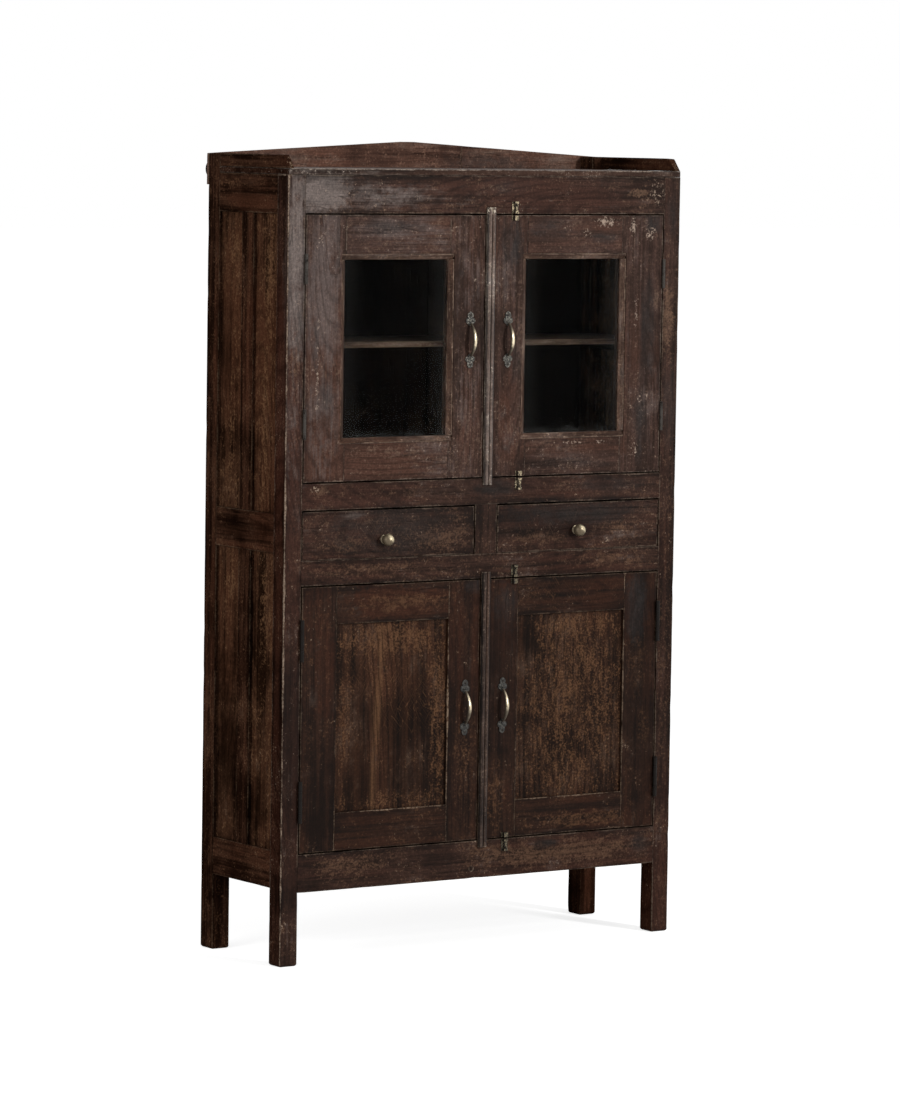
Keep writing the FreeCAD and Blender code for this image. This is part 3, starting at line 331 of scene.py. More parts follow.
# The panels of the left side
SIDE_PANEL_PATCHES = [
    *side("bare", (-75, 1430, 22, 150, 1.1), (-60, 1130, 16, 200, 0.9), (70, 1100, 14, 180, 0.8),
        (60, 1480, 30, 60, 0.7), (-70, 740, 22, 110, 0.9), (65, 790, 22, 50, 0.8)),
    *side("dark", (-60, 350, 40, 120, 0.6), (90, 1300, 22, 200, 0.6), (75, 450, 60, 260, 1.3)),
]


# Wood

class Tones:
    """The colours of one kind of worn wood, from 0 to 255; haze is the grey of a dull film and of painted
    sheen.
    """

    def __init__(self, deep, brown, warm, rubbed, pale, haze_and_sheen):
        self.deep, self.brown, self.warm = linear(*deep), linear(*brown), linear(*warm)
        self.rubbed, self.pale, self.haze_and_sheen = linear(*rubbed), linear(*pale), linear(*haze_and_sheen)


CASE_TONES = Tones((38, 26, 21), (64, 46, 39), (72, 46, 37), (98, 75, 60), (162, 142, 124), (120, 109, 104))
UPPER_TONES = Tones((48, 34, 28), (70, 51, 44), (80, 53, 42), (100, 79, 66), (172, 152, 136), (100, 88, 84))
LOWER_TONES = Tones((27, 16, 11), (46, 29, 21), (60, 34, 23), (82, 57, 40), (150, 128, 108), (76, 64, 57))
PANEL_TONES = Tones((26, 16, 11), (50, 32, 23), (66, 41, 28), (98, 69, 48), (150, 122, 94), (76, 60, 50))
SIDE_TONES = Tones((28, 15, 9), (62, 40, 29), (74, 44, 31), (92, 65, 47), (130, 108, 88), (74, 58, 48))
SIDE_PANEL_TONES = Tones(
    (30, 17, 10), (68, 45, 32), (80, 50, 35), (104, 75, 53), (136, 112, 90), (80, 62, 51))
GALLERY_TONES = Tones(
    (62, 40, 31), (94, 66, 54), (104, 69, 55), (124, 94, 78), (158, 132, 112), (114, 96, 86))
TOP_TONES = Tones((46, 32, 26), (72, 54, 46), (78, 54, 43), (112, 94, 82), (180, 164, 150), (144, 132, 124))
BEAD_TONES = Tones(
    (66, 49, 41), (98, 76, 65), (106, 76, 61), (142, 116, 97), (182, 158, 138), (124, 110, 102))
REED_TONES = Tones(
    (58, 47, 42), (114, 100, 92), (112, 86, 72), (160, 142, 126), (222, 208, 188), (142, 132, 126))
LOW_REED_TONES = Tones(
    (42, 31, 26), (78, 61, 52), (84, 60, 48), (114, 92, 78), (160, 140, 122), (100, 88, 80))
# Painted shade: the wood inside the case is near black, as the shade in it
SHADED_INNER_TONES = Tones((14, 10, 8), (24, 18, 15), (30, 20, 16), (48, 38, 31), (68, 56, 47), (44, 39, 35))
BACK_TONES = Tones((44, 32, 25), (66, 50, 41), (76, 54, 41), (98, 78, 63), (128, 108, 92), (92, 80, 72))
# Painted light: the shelves are lighter, as the light that falls on them through the panes
LIT_SHELF_TONES = Tones((58, 44, 37), (88, 68, 58), (94, 68, 56), (114, 94, 80), (130, 110, 95), (110, 95, 88))

SMOKE = linear(46, 43, 42)
LOW_TINT_TOP, LOW_TINT_FOOT = 1.2, 0.8
BOARD_SPREAD = 20.0
RING_SPACING = 6.0 * MM
RING_TAPER = 0.2
# Arrises are painted pale for wear, and as painted highlight where they catch the light
ARRIS_WEAR_AND_HIGHLIGHT = 2.6 * MM
# A line of painted shade on each arris, that deepens the dark of the gaps
ARRIS_PAINTED_SHADE = (0.4 * MM, 2.0 * MM)
# Grime and painted shade near the edges of each board, where boards meet and in recesses
GRIME_AND_SHADE_REACH = 13.0 * MM
WOOD_RELIEF = 0.45 * MM
SCRATCH_LEANS = (0.55, -0.75)


class Wood(Graph):
    """Worn varnished wood, whose grain follows the board that each point belongs to."""

    def __init__(self, name, tones, patches):
        super().__init__(name)
        self.tones, self.patches = tones, patches
        self.along, self.across, self.through = self.split(self.attribute("grain"))
        self.tint = self.attribute("tint", "Fac")
        self.spot = self.place()
        self.cloud = self.noise(self.spot, 3.0, 0.5, 3.1)
        self.drift = self.noise(self.spot, 4.0, 0.55, 9.0)
        self.grit = self.noise(self.spot, 5.0, 0.75, 210.0)
        self.streak = self.grained(1.7, 48.0, 5.0)
        self.fine = self.grained(6.0, 170.0, 4.0)
        self.fibre = self.grained(16.0, 460.0, 3.0, 0.7)
        self.mottle = self.grained(19.0, 52.0, 8.0, 0.7)
        self.flake = self.grained(42.0, 90.0, 6.0, 0.68)
        self.blot = self.noise(self.spot, 4.0, 0.7, 75.0)
        self.ragged = (self.drift - 0.5) * 1.8 + (self.blot - 0.5) * 1.6
        self.edge = self.from_arris()

    def grained(self, lengthwise, crosswise, detail, rough=0.6):
        """Noise drawn out along the grain, with so many waves to the metre along and across it."""
        run = (self.along + self.tint * BOARD_SPREAD) * lengthwise
        return self.noise(self.vector(run, self.across * crosswise, self.through * crosswise), detail, rough)

    def patch(self, kind):
        """How much of one kind of wear the listed patches bring to a place."""
        total = 0.0
        for patch in self.patches:
            if patch.kind != kind:
                continue
            offset = self.vector_math("SUBTRACT", self.spot, patch.centre)
            away = self.vector_math("LENGTH", self.vector_math("DIVIDE", offset, patch.half), output="Value")
            share = self.step(away + self.ragged, 1.3, 0.3, 0.0, patch.amount)
            total = share if total == 0.0 else self.greater(total, share)
        return total

    def rings(self):
        """The growth rings, cut into arches where the board's face runs near the heart."""
        bend = self.grained(2.2, 9.0, 2.0) - 0.5
        depth = self.through + self.along * RING_TAPER + bend * 0.03
        offset = self.across + bend * 0.02
        radius = self.math("SQRT", offset * offset + depth * depth)
        ripple = self.grained(9.0, 60.0, 3.0)
        wave = self.math("PINGPONG", radius / RING_SPACING + ripple * 0.9, 1.0)
        return self.step(wave, 0.5, 1.0) * self.step(self.cloud * 0.5 + bend * 0.5, 0.2, 0.32)

    def from_arris(self):
        """How far a point is from the nearest arris of its board."""
        spot = self.vector_math("ABSOLUTE", self.attribute("from_centre"))
        inset = self.split(self.vector_math("SUBTRACT", self.attribute("half_size"), spot))
        nearest = self.lesser(inset[0], inset[1])
        farthest = self.greater(inset[0], inset[1])
        return self.greater(nearest, self.lesser(farthest, inset[2]))

    def scratches(self):
        """Fine straight scratches that lean both ways, here and there."""
        x, y, z = self.split(self.spot)
        flat = x + y
        total = 0.0
        for lean in SCRATCH_LEANS:
            lengthwise = z + flat * lean
            crosswise = flat - z * lean
            where = self.vector(lengthwise * 9.0, crosswise * 75.0, lean)
            total = self.line(self.noise(where, 1.0), 0.010) + total
        share = self.step(self.drift, 0.545, 0.60, 0.0, 0.5) + self.patch("scratch")
        return self.math("MULTIPLY", total, share, clamp=True)

    def sideways(self):
        """One on the faces that look to the left or to the right."""
        return self.step(self.math("ABSOLUTE", self.facing((1, 0, 0))), 0.5, 0.9)

    def clean(self):
        """The colour before any wear, in dark streaks and warm clouds."""
        streaks = self.streak * 0.35 + self.fine * 0.3 + self.drift * 0.35 + self.tint * 0.012
        colour = self.mix(self.step(streaks, 0.43, 0.56), self.tones.deep, self.tones.brown)
        warmth = self.cloud * 0.6 + self.streak * 0.4 + self.tint * 0.03 + self.patch("red") * 0.1
        return self.mix(self.step(warmth, 0.46, 0.64, 0.0, 0.7), colour, self.tones.warm)

    def weathered(self, colour, haze_and_sheen, bare, side_face_shade):
        """The colour with bare flecks, sapwood, haze with painted sheen, dark places and smoke marks."""
        shadow = self.patch("dark")
        bared = self.flake * 0.35 + self.drift * 0.15 + self.streak * 0.05 + self.grit * 0.45 + bare * 0.08
        self.bared = self.step(bared + self.patch("bare") * 0.06 - shadow * 0.06, 0.51, 0.62, 0.0, 0.8)
        colour = self.mix(self.bared, colour, self.tones.rubbed)
        sapwood = self.patch("sapwood") * self.step(self.fine, 0.36, 0.58, 0.3, 0.8)
        colour = self.mix(sapwood, colour, self.tones.rubbed)
        # Haze: a grey dull film, partly painted sheen of light on the varnish
        haze_and_sheen_share = self.drift * 0.3 + self.mottle * 0.3 + self.blot * 0.2 + self.fine * 0.2 + haze_and_sheen * 0.1
        self.haze_and_sheen_share = self.step(haze_and_sheen_share + self.patch("haze_and_sheen") * 0.1, 0.49, 0.66, 0.0, 0.8)
        # Less haze and painted sheen on the faces that look sideways
        if side_face_shade:
            self.haze_and_sheen_share = self.haze_and_sheen_share * (1.0 - self.sideways() * 0.7)
        colour = self.mix(self.haze_and_sheen_share, colour, self.tones.haze_and_sheen)
        colour = self.shade(colour, 1.0 - shadow * 0.45)
        smoked = self.patch("smoke") * self.step(self.mottle * 0.5 + self.drift * 0.5, 0.42, 0.56, 0.35, 0.85)
        return self.mix(smoked, colour, SMOKE)

    def figured(self, colour, rings):
        """The colour with rings, fibres, pores and cracks, with grime and painted shade near each board's
        edges, and a line of painted shade along its arrises.
        """
        colour = self.shade(colour, 1.0 - self.rings() * rings)
        colour = self.shade(colour, self.fibre * 1.1 + 0.45)
        self.pores = self.grained(95.0, 1250.0, 1.0)
        colour = self.shade(colour, self.step(self.pores, 0.60, 0.70, 1.0, 0.55))
        self.cracks = self.line(self.grained(1.3, 34.0, 2.0), 0.006) * self.step(self.drift, 0.49, 0.54)
        colour = self.shade(colour, 1.0 - self.cracks * 0.5)
        # Grime and painted shade, darker near the edges of each board
        grime_and_shade = self.step(self.edge + (self.drift - 0.5) * (GRIME_AND_SHADE_REACH * 2.0), GRIME_AND_SHADE_REACH, 0.0)
        colour = self.shade(colour, 1.0 - grime_and_shade * 0.35)
        # Painted shade on the arrises, that widens the dark lines of the gaps
        colour = self.shade(colour, self.step(self.edge, *ARRIS_PAINTED_SHADE, 0.5, 1.0))
        return self.shade(colour, self.grit * 1.9 + 0.05)

    def placed(self, colour, low_tint, shaded_hollow, side_face_shade):
        """The colour with painted shade in hollows, tinted on the lower tier, and with painted shade
        on the faces that look sideways.
        """
        _, depth, level = self.split(self.spot)
        # Painted shade: darker with depth, in the groove between the reeds and on the back's inside face
        if shaded_hollow:
            face, start, end, share = shaded_hollow
            colour = self.shade(colour, self.step(depth, face - start, face - end, 1.0, share))
        if low_tint:
            low = self.step(level, LOW_TINT_TOP, LOW_TINT_FOOT)
            colour = self.mix(low, colour, (*low_tint, 1.0), "MULTIPLY")
        # Painted shade on the faces that look sideways
        if side_face_shade:
            colour = self.mix(self.sideways(), colour, (*side_face_shade, 1.0), "MULTIPLY")
        return colour

    def damaged(self, colour, arris, chips):
        """The colour with scratches, worn arrises that are partly painted highlight, and chips."""
        colour = self.mix(self.scratches() * 0.55, colour, self.tones.rubbed)
        # Pale arrises: wear, and painted highlight where an arris catches the light
        rubbed_and_lit_edge = self.patch("edge")
        uneven = (self.mottle - 0.5) * (ARRIS_WEAR_AND_HIGHLIGHT * 6.0)
        worn = self.step(self.edge + uneven, rubbed_and_lit_edge * (ARRIS_WEAR_AND_HIGHLIGHT * 0.3) + ARRIS_WEAR_AND_HIGHLIGHT, 0.0)
        worn = worn * self.math("ADD", rubbed_and_lit_edge, arris, clamp=True)
        rubbed = self.mix(self.step(self.grit, 0.40, 0.54), self.tones.rubbed, self.tones.pale)
        colour = self.mix(worn * 0.7, colour, rubbed)
        chipped = self.grit * 0.5 + self.blot * 0.25 + self.flake * 0.1 + self.drift * 0.15 + chips * 0.03
        self.chipped = self.step(chipped + self.patch("chips") * 0.07, 0.58, 0.61, 0.0, 0.8)
        return self.mix(self.chipped, colour, self.tones.pale)

    def relief(self):
        """The height of the surface, lower where it is bare, chipped, porous or cracked."""
        return (self.fibre * 0.5 + self.mottle * 1.1 + self.flake * 0.8 - self.bared * 0.4
                - self.chipped * 0.6 - self.cracks * 1.5 - self.pores * 0.25 + self.drift * 1.5)


def wood(name, tones, patches=(), haze_and_sheen=0.0, bare=0.0, chips=0.0, arris=0.45, rings=0.34,
         low_tint=None, shaded_hollow=None, side_face_shade=None, gloss=0.05, rough=0.42):
    """The material of one kind of worn wood.

    haze, bare and chips add to that wear all over, and the haze brings painted sheen too; arris and rings are
    the strength of worn arrises, which are partly painted highlight, and of growth rings. low_tint colours
    the lower tier and aside paints shade on the faces that look sideways. hollow is a depth, how far before
    it the painted shade starts and stops, and the share that is left."""
    graph = Wood(name, tones, patches)
    colour = graph.weathered(graph.clean(), haze_and_sheen, bare, side_face_shade)
    colour = graph.placed(graph.figured(colour, rings), low_tint, shaded_hollow, side_face_shade)
    return graph.surface(
        Base_Color=graph.damaged(colour, arris, chips),
        Roughness=rough + graph.haze_and_sheen_share * 0.2 + graph.grit * 0.14,
        Specular_IOR_Level=(1.0 - graph.sideways()) * gloss if side_face_shade else gloss,
        Normal=graph.bump(graph.relief(), WOOD_RELIEF, 0.8),
    )


# Metal and glass

# The bows are rubbed and carry painted highlight on this side, this far above their middle and over this
# height
LIT_AND_RUBBED_SIDE = (0.45, -0.88, 0.10)
HIGHLIGHT_AND_RUB_RISE = {"upper": 2 * MM, "lower": 12 * MM}
HIGHLIGHT_AND_RUB_REACH = 25 * MM
# Bow colours: bright is rubbed brass with painted highlight, dull is tarnish with painted shade
BOW_RUBBED_AND_HIGHLIGHT, BOW_TARNISH_AND_SHADE = (228, 211, 180), (44, 34, 22)
# The leaves reach this far before the door; each has one colour in its high and one in its low places
LEAF_REACH, LEAF_EDGE = 4.6 * MM, 1.2 * MM
LEAF_COLOURS = {"upper": ((112, 108, 98), (20, 18, 16)), "lower": ((64, 61, 54), (13, 12, 11))}
TIER_SPLIT, TIER_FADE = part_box("upper_drawer_rail")[0].z, 20 * MM
METAL_RELIEF = 0.3 * MM
GLASS_COLOUR, GLASS_DUST = linear(236, 240, 238), linear(98, 98, 96)
GLASS_WAVE = 0.6 * MM
DUST_AT_FOOT, DUST_AT_SIDES = (30 * MM, 3 * MM), (70 * MM, 2 * MM)


def brass(name, bright, dull, rough, lit_and_rubbed_side, highlight_and_rub_middle=None, plate=None, low_shade=1.0,
          pitted=False):
    """Old brass, bright where hands rub it and with painted highlight on its lit side, brown with tarnish and
    painted shade elsewhere, and grey on the plate behind it.

    highlight_and_rub_middle is the level where hands rub it most and the painted highlight is brightest, with
    how far that reaches, and plate is the depth at which the plate starts, with its colours in its high and
    its low places."""
    graph = Graph(name)
    place = graph.place()
    _, depth, level = graph.split(place)
    cloud = graph.noise(place, 4.0, 0.6, 120.0)
    speck = graph.noise(place, 5.0, 0.75, 900.0)
    # Rub and painted highlight on the faces turned to the lit side, tarnish and painted shade elsewhere
    rubbed = graph.step(graph.facing(lit_and_rubbed_side) + (cloud - 0.5) * 0.9, 0.35, 0.95)
    if highlight_and_rub_middle:
        centre, reach = highlight_and_rub_middle
        away = graph.math("ABSOLUTE", level - centre)
        rubbed = rubbed * graph.step(away, reach, reach * 0.25, 0.12, 1.0)
    rubbed = rubbed * graph.step(speck, 0.56, 0.64, 1.0, 0.45)
    relief = graph.noise(place, 3.0, 0.7, 330.0)
    if pitted:
        rubbed = rubbed * graph.step(relief, 0.46, 0.54, 0.1, 1.0)
    colour = graph.mix(rubbed, linear(*dull), linear(*bright))
    metal = 0.55 + rubbed * 0.4
    if plate:
        start, high, low = plate
        behind = graph.step(depth, start - LEAF_EDGE, start)
        cast = graph.mix(graph.step(relief * 0.7 + speck * 0.3, 0.48, 0.57), linear(*low), linear(*high))
        colour = graph.mix(behind, colour, cast)
        metal = metal - behind * 0.15
    if low_shade < 1.0:
        colour = graph.shade(colour, graph.step(level, TIER_SPLIT, TIER_SPLIT + TIER_FADE, low_shade, 1.0))
    return graph.surface(
        Base_Color=colour,
        Metallic=metal,
        Roughness=rough + 0.22 - rubbed * 0.22 + speck * 0.12,
        Normal=graph.bump(cloud * 0.6 + speck * 0.4, METAL_RELIEF, 0.6),
    )


def iron(name, metal, rust, share, upper_metal=None):
    """Dark steel or iron with rust, which may be another shade on the upper doors."""
    graph = Graph(name)
    place = graph.place()
    colour = linear(*metal)
    if upper_metal:
        upper = graph.step(graph.split(place)[2], TIER_SPLIT - MM, TIER_SPLIT)
        colour = graph.mix(upper, colour, linear(*upper_metal))
    cloud = graph.noise(place, 5.0, 0.65, 90.0)
    speck = graph.noise(place, 4.0, 0.75, 700.0)
    rusted = graph.step(cloud * 0.6 + speck * 0.4 + share, 0.50, 0.60)
    return graph.surface(
        Base_Color=graph.mix(rusted, colour, linear(*rust)),
        Metallic=0.45 - rusted * 0.45,
        Specular_IOR_Level=0.12,
        Roughness=0.38 + rusted * 0.4,
        Normal=graph.bump(cloud + speck * 0.7, METAL_RELIEF, 0.7),
    )


def old_glass(name, low, high):
    """Thin window glass with dust in its corners and along its lower edge."""
    graph = Graph(name)
    place = graph.place()
    x, _, z = graph.split(place)
    cloud = graph.noise(place, 5.0, 0.65, 30.0)
    wave = graph.noise(place, 2.0, 0.5, 6.0)
    clear = graph.node("BsdfPrincipled", {
        "Base Color": GLASS_COLOUR, "Roughness": 0.03, "IOR": 1.06, "Transmission Weight": 1.0,
        "Normal": graph.bump(wave, GLASS_WAVE, 0.3)})
    dust = graph.node("BsdfDiffuse", {"Color": GLASS_DUST})
    foot = graph.step(z - low.z + (cloud - 0.5) * 0.06, *DUST_AT_FOOT, 0.0, 0.10)
    to_side = graph.lesser(graph.math("ABSOLUTE", x - low.x), graph.math("ABSOLUTE", x - high.x))
    sides = graph.step(to_side + (cloud - 0.5) * 0.05, *DUST_AT_SIDES, 0.0, 0.035)
    film = graph.step(cloud, 0.5, 0.8, 0.002, 0.02)
    mixed = graph.node("MixShader", {0: graph.greater(graph.greater(foot, sides), film)})
    graph.tree.links.new(clear.outputs[0], mixed.inputs[1])
    graph.tree.links.new(dust.outputs[0], mixed.inputs[2])
    return graph.finish(mixed)


# Boards: each wooden solid is cut from its node with worn arrises and a faintly uneven surface

ARRIS = 1.1 * MM
ARRIS_ANGLE = math.radians(30)
FLAT_ANGLE = math.radians(0.8)
CUT_PITCH = 26.0 * MM
CUT_JITTER = 0.3
CUT_GRIP = 1e-6
UNEVEN, UNEVEN_WAVES = 0.22 * MM, 21.0
NICK, NICK_WAVES = 2.2 * MM, 47.0
NICK_START = 0.22
NICK_BAND = 1.5 * ARRIS
ON_BOX = 0.03 * MM
GRAIN_START, GRAIN_ASIDE = 0.2, 0.05
HEART_DEPTHS = (0.02, 0.09)


def closed_solids(node):
    """Each closed solid of a node, as a list of triangles of corner points."""
    mesh = frame["nodes"][node].data
    open_edges, faces = set(), []
    for polygon in mesh.polygons:
        corners = [mesh.vertices[index].co.to_tuple(5) for index in polygon.vertices]
        if len(set(corners)) < 3:
            continue
        faces.append(corners)
        for pair in zip(corners, corners[1:] + corners[:1]):
            open_edges ^= {frozenset(pair)}
        if not open_edges:
            yield faces
            faces = []


def reach(points):
    """The lowest and the highest corner of the box round some points."""
    low = Vector([min(point[axis] for point in points) for axis in range(3)])
    high = Vector([max(point[axis] for point in points) for axis in range(3)])
    return low, high


def solid_boxes(node):
    """The lowest and the highest corner of each closed solid of a node."""
    for faces in closed_solids(node):
        yield reach([corner for corners in faces for corner in corners])


def between(low, high, share):
    """The value or the place at a share of the way from low to high."""
    return low + (high - low) * share


def solid_form(faces):
    """A solid as a bmesh with flat faces in one piece each, with its lowest and highest corner."""
    form = bmesh.new()
    made = {}
    for corners in faces:
        for corner in corners:
            if corner not in made:
                made[corner] = form.verts.new(corner)
        form.faces.new([made[corner] for corner in corners])
    bmesh.ops.dissolve_limit(form, angle_limit=FLAT_ANGLE, verts=form.verts, edges=form.edges)
    return form, *reach(list(made))


def on_box_edge(edge, low, high):
    """Whether an edge lies on an arris of its solid's box."""
    walls = 0
    for axis in range(3):
        for wall in (low[axis], high[axis]):
            walls += all(abs(end.co[axis] - wall) < ON_BOX for end in edge.verts)
    return walls >= 2


def wear_down(form, low, high, all_arrises, tight_axis):
    """Rounds the arrises, cuts the faces up and moves every point a little inwards.

    No point moves along the tight axis, so that boards that meet on it stay together."""
    worn = [edge for edge in form.edges
            if len(edge.link_faces) == 2 and edge.is_convex and edge.calc_face_angle() > ARRIS_ANGLE
            and (all_arrises or on_box_edge(edge, low, high))]
    bmesh.ops.bevel(form, geom=worn, offset=ARRIS, offset_type="OFFSET", segments=2, profile=0.5,
                    affect="EDGES", clamp_overlap=True)
    for axis in range(3):
        count = int((high[axis] - low[axis]) / CUT_PITCH)
        normal = Vector([float(axis == other) for other in range(3)])
        for index in range(1, count):
            spot = between(low, high, (index + random.uniform(-CUT_JITTER, CUT_JITTER)) / count)
            bmesh.ops.bisect_plane(form, geom=form.verts[:] + form.edges[:] + form.faces[:],
                                   plane_co=spot, plane_no=normal, dist=CUT_GRIP)
    form.normal_update()
    middle, half = (low + high) / 2, (high - low) / 2
    moves = []
    for point in form.verts:
        inset = sorted(half[axis] - abs(point.co[axis] - middle[axis]) for axis in range(3))
        amount = UNEVEN * (0.5 + 0.5 * noise.noise(point.co * UNEVEN_WAVES))
        if inset[1] < NICK_BAND:
            amount += NICK * max(0.0, noise.noise(point.co * NICK_WAVES) - NICK_START)
        move = point.normal * -amount
        if tight_axis is not None:
            move[tight_axis] = 0.0
        moves.append(move)
    for point, move in zip(form.verts, moves):
        point.co += move


class Boards:
    """The mesh of one node's boards, with what the wood shader needs at each point."""

    def __init__(self):
        self.points, self.faces = [], []
        self.grain, self.from_centre, self.half_size, self.tint = [], [], [], []

    def add(self, form, low, high, heart=None):
        """Adds one board, whose grain starts at its heart if given and anywhere if not."""
        size, middle = high - low, (low + high) / 2
        order = sorted(range(3), key=lambda axis: -size[axis])
        flip = random.choice((-1, 1))
        start = Vector((random.uniform(-GRAIN_START, GRAIN_START), random.uniform(-GRAIN_ASIDE, GRAIN_ASIDE),
                        flip * random.uniform(*HEART_DEPTHS)))
        start = Vector(heart) if heart else start
        tint = random.uniform(-1, 1)
        form.verts.index_update()
        first = len(self.points)
        for point in form.verts:
            away = point.co - middle
            self.points.append(point.co.copy())
            self.grain.extend(Vector([away[axis] for axis in order]) + start)
            self.from_centre.extend(away)
            self.half_size.extend(size / 2)
            self.tint.append(tint)
        self.faces += [[first + point.index for point in face.verts] for face in form.faces]

    def mesh(self, name):
        mesh = bpy.data.meshes.new(name)
        mesh.from_pydata(self.points, [], self.faces)
        for key in ("grain", "from_centre", "half_size"):
            made = mesh.attributes.new(key, "FLOAT_VECTOR", "POINT")
            made.data.foreach_set("vector", getattr(self, key))
        mesh.attributes.new("tint", "FLOAT", "POINT").data.foreach_set("value", self.tint)
        return mesh


def add_object(name, data):
    made = bpy.data.objects.new(name, data)
    bpy.context.scene.collection.objects.link(made)
    return made


def add_piece(name, mesh, material, body):
    """A piece of the object, riding on a body."""
    piece = add_object(name, mesh)
    mesh.materials.append(material)
    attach(piece, body)
    return piece


def wooden(node, material, all_arrises=False, smooth=False, heart=None, tight_axis=None):
    """Stands in for a wooden node with its worn boards."""
    boards = Boards()
    for faces in closed_solids(node):
        form, low, high = solid_form(faces)
        wear_down(form, low, high, all_arrises, tight_axis)
        boards.add(form, low, high, heart)
        form.free()
    source = frame["nodes"][node]
    mesh = boards.mesh(node + "_worn")
    if smooth:
        mesh.shade_smooth()
        mesh.set_sharp_from_angle(angle=ARRIS_ANGLE)
    piece = add_piece(node + "_worn", mesh, material, source["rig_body"])
    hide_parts(node)


def close_rims(form, rims):
    """Closes a stack of rims, all with as many points, into one form."""
    form.faces.new(rims[0][::-1])
    form.faces.new(rims[-1])
    for low, high in zip(rims, rims[1:]):
        for index in range(len(low)):
            after = (index + 1) % len(low)
            form.faces.new((low[index], low[after], high[after], high[index]))


def arc_points(start, end, count):
    """Points on a circle of radius one, from one angle to another."""
    angles = [start + (end - start) * index / count for index in range(count + 1)]
    return [(math.cos(angle), math.sin(angle)) for angle in angles]


INLAY_PROUD = 0.5 * MM
REPAIR_OUTLINE = ((-418, 1561), (-373, 1561), (-373, 1438), (-396, 1438))
PLUG_CENTRE = (-21.3, 174.1)
PLUG_RADIUS = 6.5
PLUG_SIDES = 20


def inlay(name, material, body, outline, face):
    """A thin piece of wood let into a face, a little proud of it, its outline in millimetres."""
    depths = (face - INLAY_PROUD, face + INLAY_PROUD)
    form = bmesh.new()
    close_rims(form, [[form.verts.new((x * MM, depth, z * MM)) for x, z in outline] for depth in depths])
    bmesh.ops.recalc_face_normals(form, faces=form.faces)
    boards = Boards()
    boards.add(form, *reach([point.co for point in form.verts]))
    form.free()
    add_piece(name, boards.mesh(name), material, body)


def inlays(repair, plug):
    """A slip in the hinge stile of the upper left door, and a round plug in the bottom rail."""
    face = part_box("upper_left_door_stiles")[0].y
    inlay("upper_left_door_repair", repair, "upper_left_door", REPAIR_OUTLINE, face)
    circle = arc_points(0, math.tau, PLUG_SIDES)[:-1]
    outline = [(PLUG_CENTRE[0] + PLUG_RADIUS * x, PLUG_CENTRE[1] + PLUG_RADIUS * z) for x, z in circle]
    inlay("bottom_rail_plug", plug, "carcass", outline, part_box("bottom_front_rail")[0].y)


# Screws and nails

SCREW_PROFILE = ((1.0, -0.5), (1.0, 0.1), (0.9, 0.6), (0.7, 1.0))
SLOT_PROFILE = ((1.0, -0.5), (1.0, 0.05))
NAIL_PROFILE = ((1.0, -0.5), (1.0, 0.4), (0.8, 0.85), (0.4, 1.0))
HEAD_SIDES = 16
SLOT_SHARE = 0.14

# The radius and the height of each kind of head
HANDLE_SCREW = (2.7 * MM, 0.8 * MM)
HINGE_SCREW = (2.4 * MM, 0.1 * MM)
PLATE_NAIL = (1.1 * MM, 0.5 * MM)
BACK_NAIL = (2.4 * MM, 0.7 * MM)

FORWARD, BACKWARD = (0.0, -1.0, 0.0), (0.0, 1.0, 0.0)
# A handle's screw sits on the lobe at the tip of its leaf
HANDLE_SCREW_INSET = 7.2 * MM
LEAF_THICKNESS, LOBE_RISE = 2.0 * MM, 1.36 * MM
HINGE_SCREW_DEPTH = 0.62
HINGE_SCREW_SHARES = (0.16, 0.5, 0.84)
# The door leaf's face lies this far from the middle of the barrel's box, and the post's leaf this far on
HINGE_FACE = -0.15 * MM
HINGE_GAP = 0.3 * MM
PLATE_THICKNESS = 1.2 * MM
PLATE_NAIL_INSET = 1.6 * MM
PLATE_NAIL_SHARES = (0.3, 0.7)
BACK_NAIL_PITCH = 118 * MM
BACK_NAIL_INSET = 24 * MM
BACK_NAIL_JITTER = 5 * MM


def turned(form, centre, out, up, outline, profile, radius, height):
    """A closed form on a face: an outline that is drawn in and raised in steps."""
    across = up.cross(out)
    close_rims(form, [
        [form.verts.new(centre + (across * x + up * z) * (radius * inward) + out * (height * rise))
         for x, z in outline] for inward, rise in profile])


def heads(name, material, body, slot, places, radius, height, slotted=True):
    """A group of screw heads, or of nail heads, each given by its centre and the way it faces."""
    form = bmesh.new()
    circle = arc_points(0, math.tau, HEAD_SIDES)[:-1]
    rise = math.asin(SLOT_SHARE)
    half = arc_points(rise, math.pi - rise, HEAD_SIDES // 2)
    for centre, out in places:
        centre, out = Vector(centre), Vector(out)
        side_way = out.orthogonal().normalized()
        up = Matrix.Rotation(random.uniform(0, math.pi), 3, out) @ side_way
        if not slotted:
            turned(form, centre, out, up, circle, NAIL_PROFILE, radius, height)
            continue
        turned(form, centre, out, up, circle, SLOT_PROFILE, radius, height)
        for way in (up, -up):
            turned(form, centre, out, way, half, SCREW_PROFILE, radius, height)
    bmesh.ops.recalc_face_normals(form, faces=form.faces)
    mesh = bpy.data.meshes.new(name)
    form.to_mesh(mesh)
    form.free()
    add_piece(name, mesh, material, body)


def handle_screws(material):
    """A screw in the tip of each leaf of the four handles."""
    for tier in TIERS:
        for side_name in SIDES:
            low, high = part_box(f"{tier}_{side_name}_handle")
            middle = (low.x + high.x) / 2
            face = high.y - LEAF_THICKNESS - LOBE_RISE
            levels = (low.z + HANDLE_SCREW_INSET, high.z - HANDLE_SCREW_INSET)
            places = [((middle, face, level), FORWARD) for level in levels]
            heads(f"{tier}_{side_name}_handle_screws", material, f"{tier}_{side_name}_door", "handle_brass",
                  places, *HANDLE_SCREW)


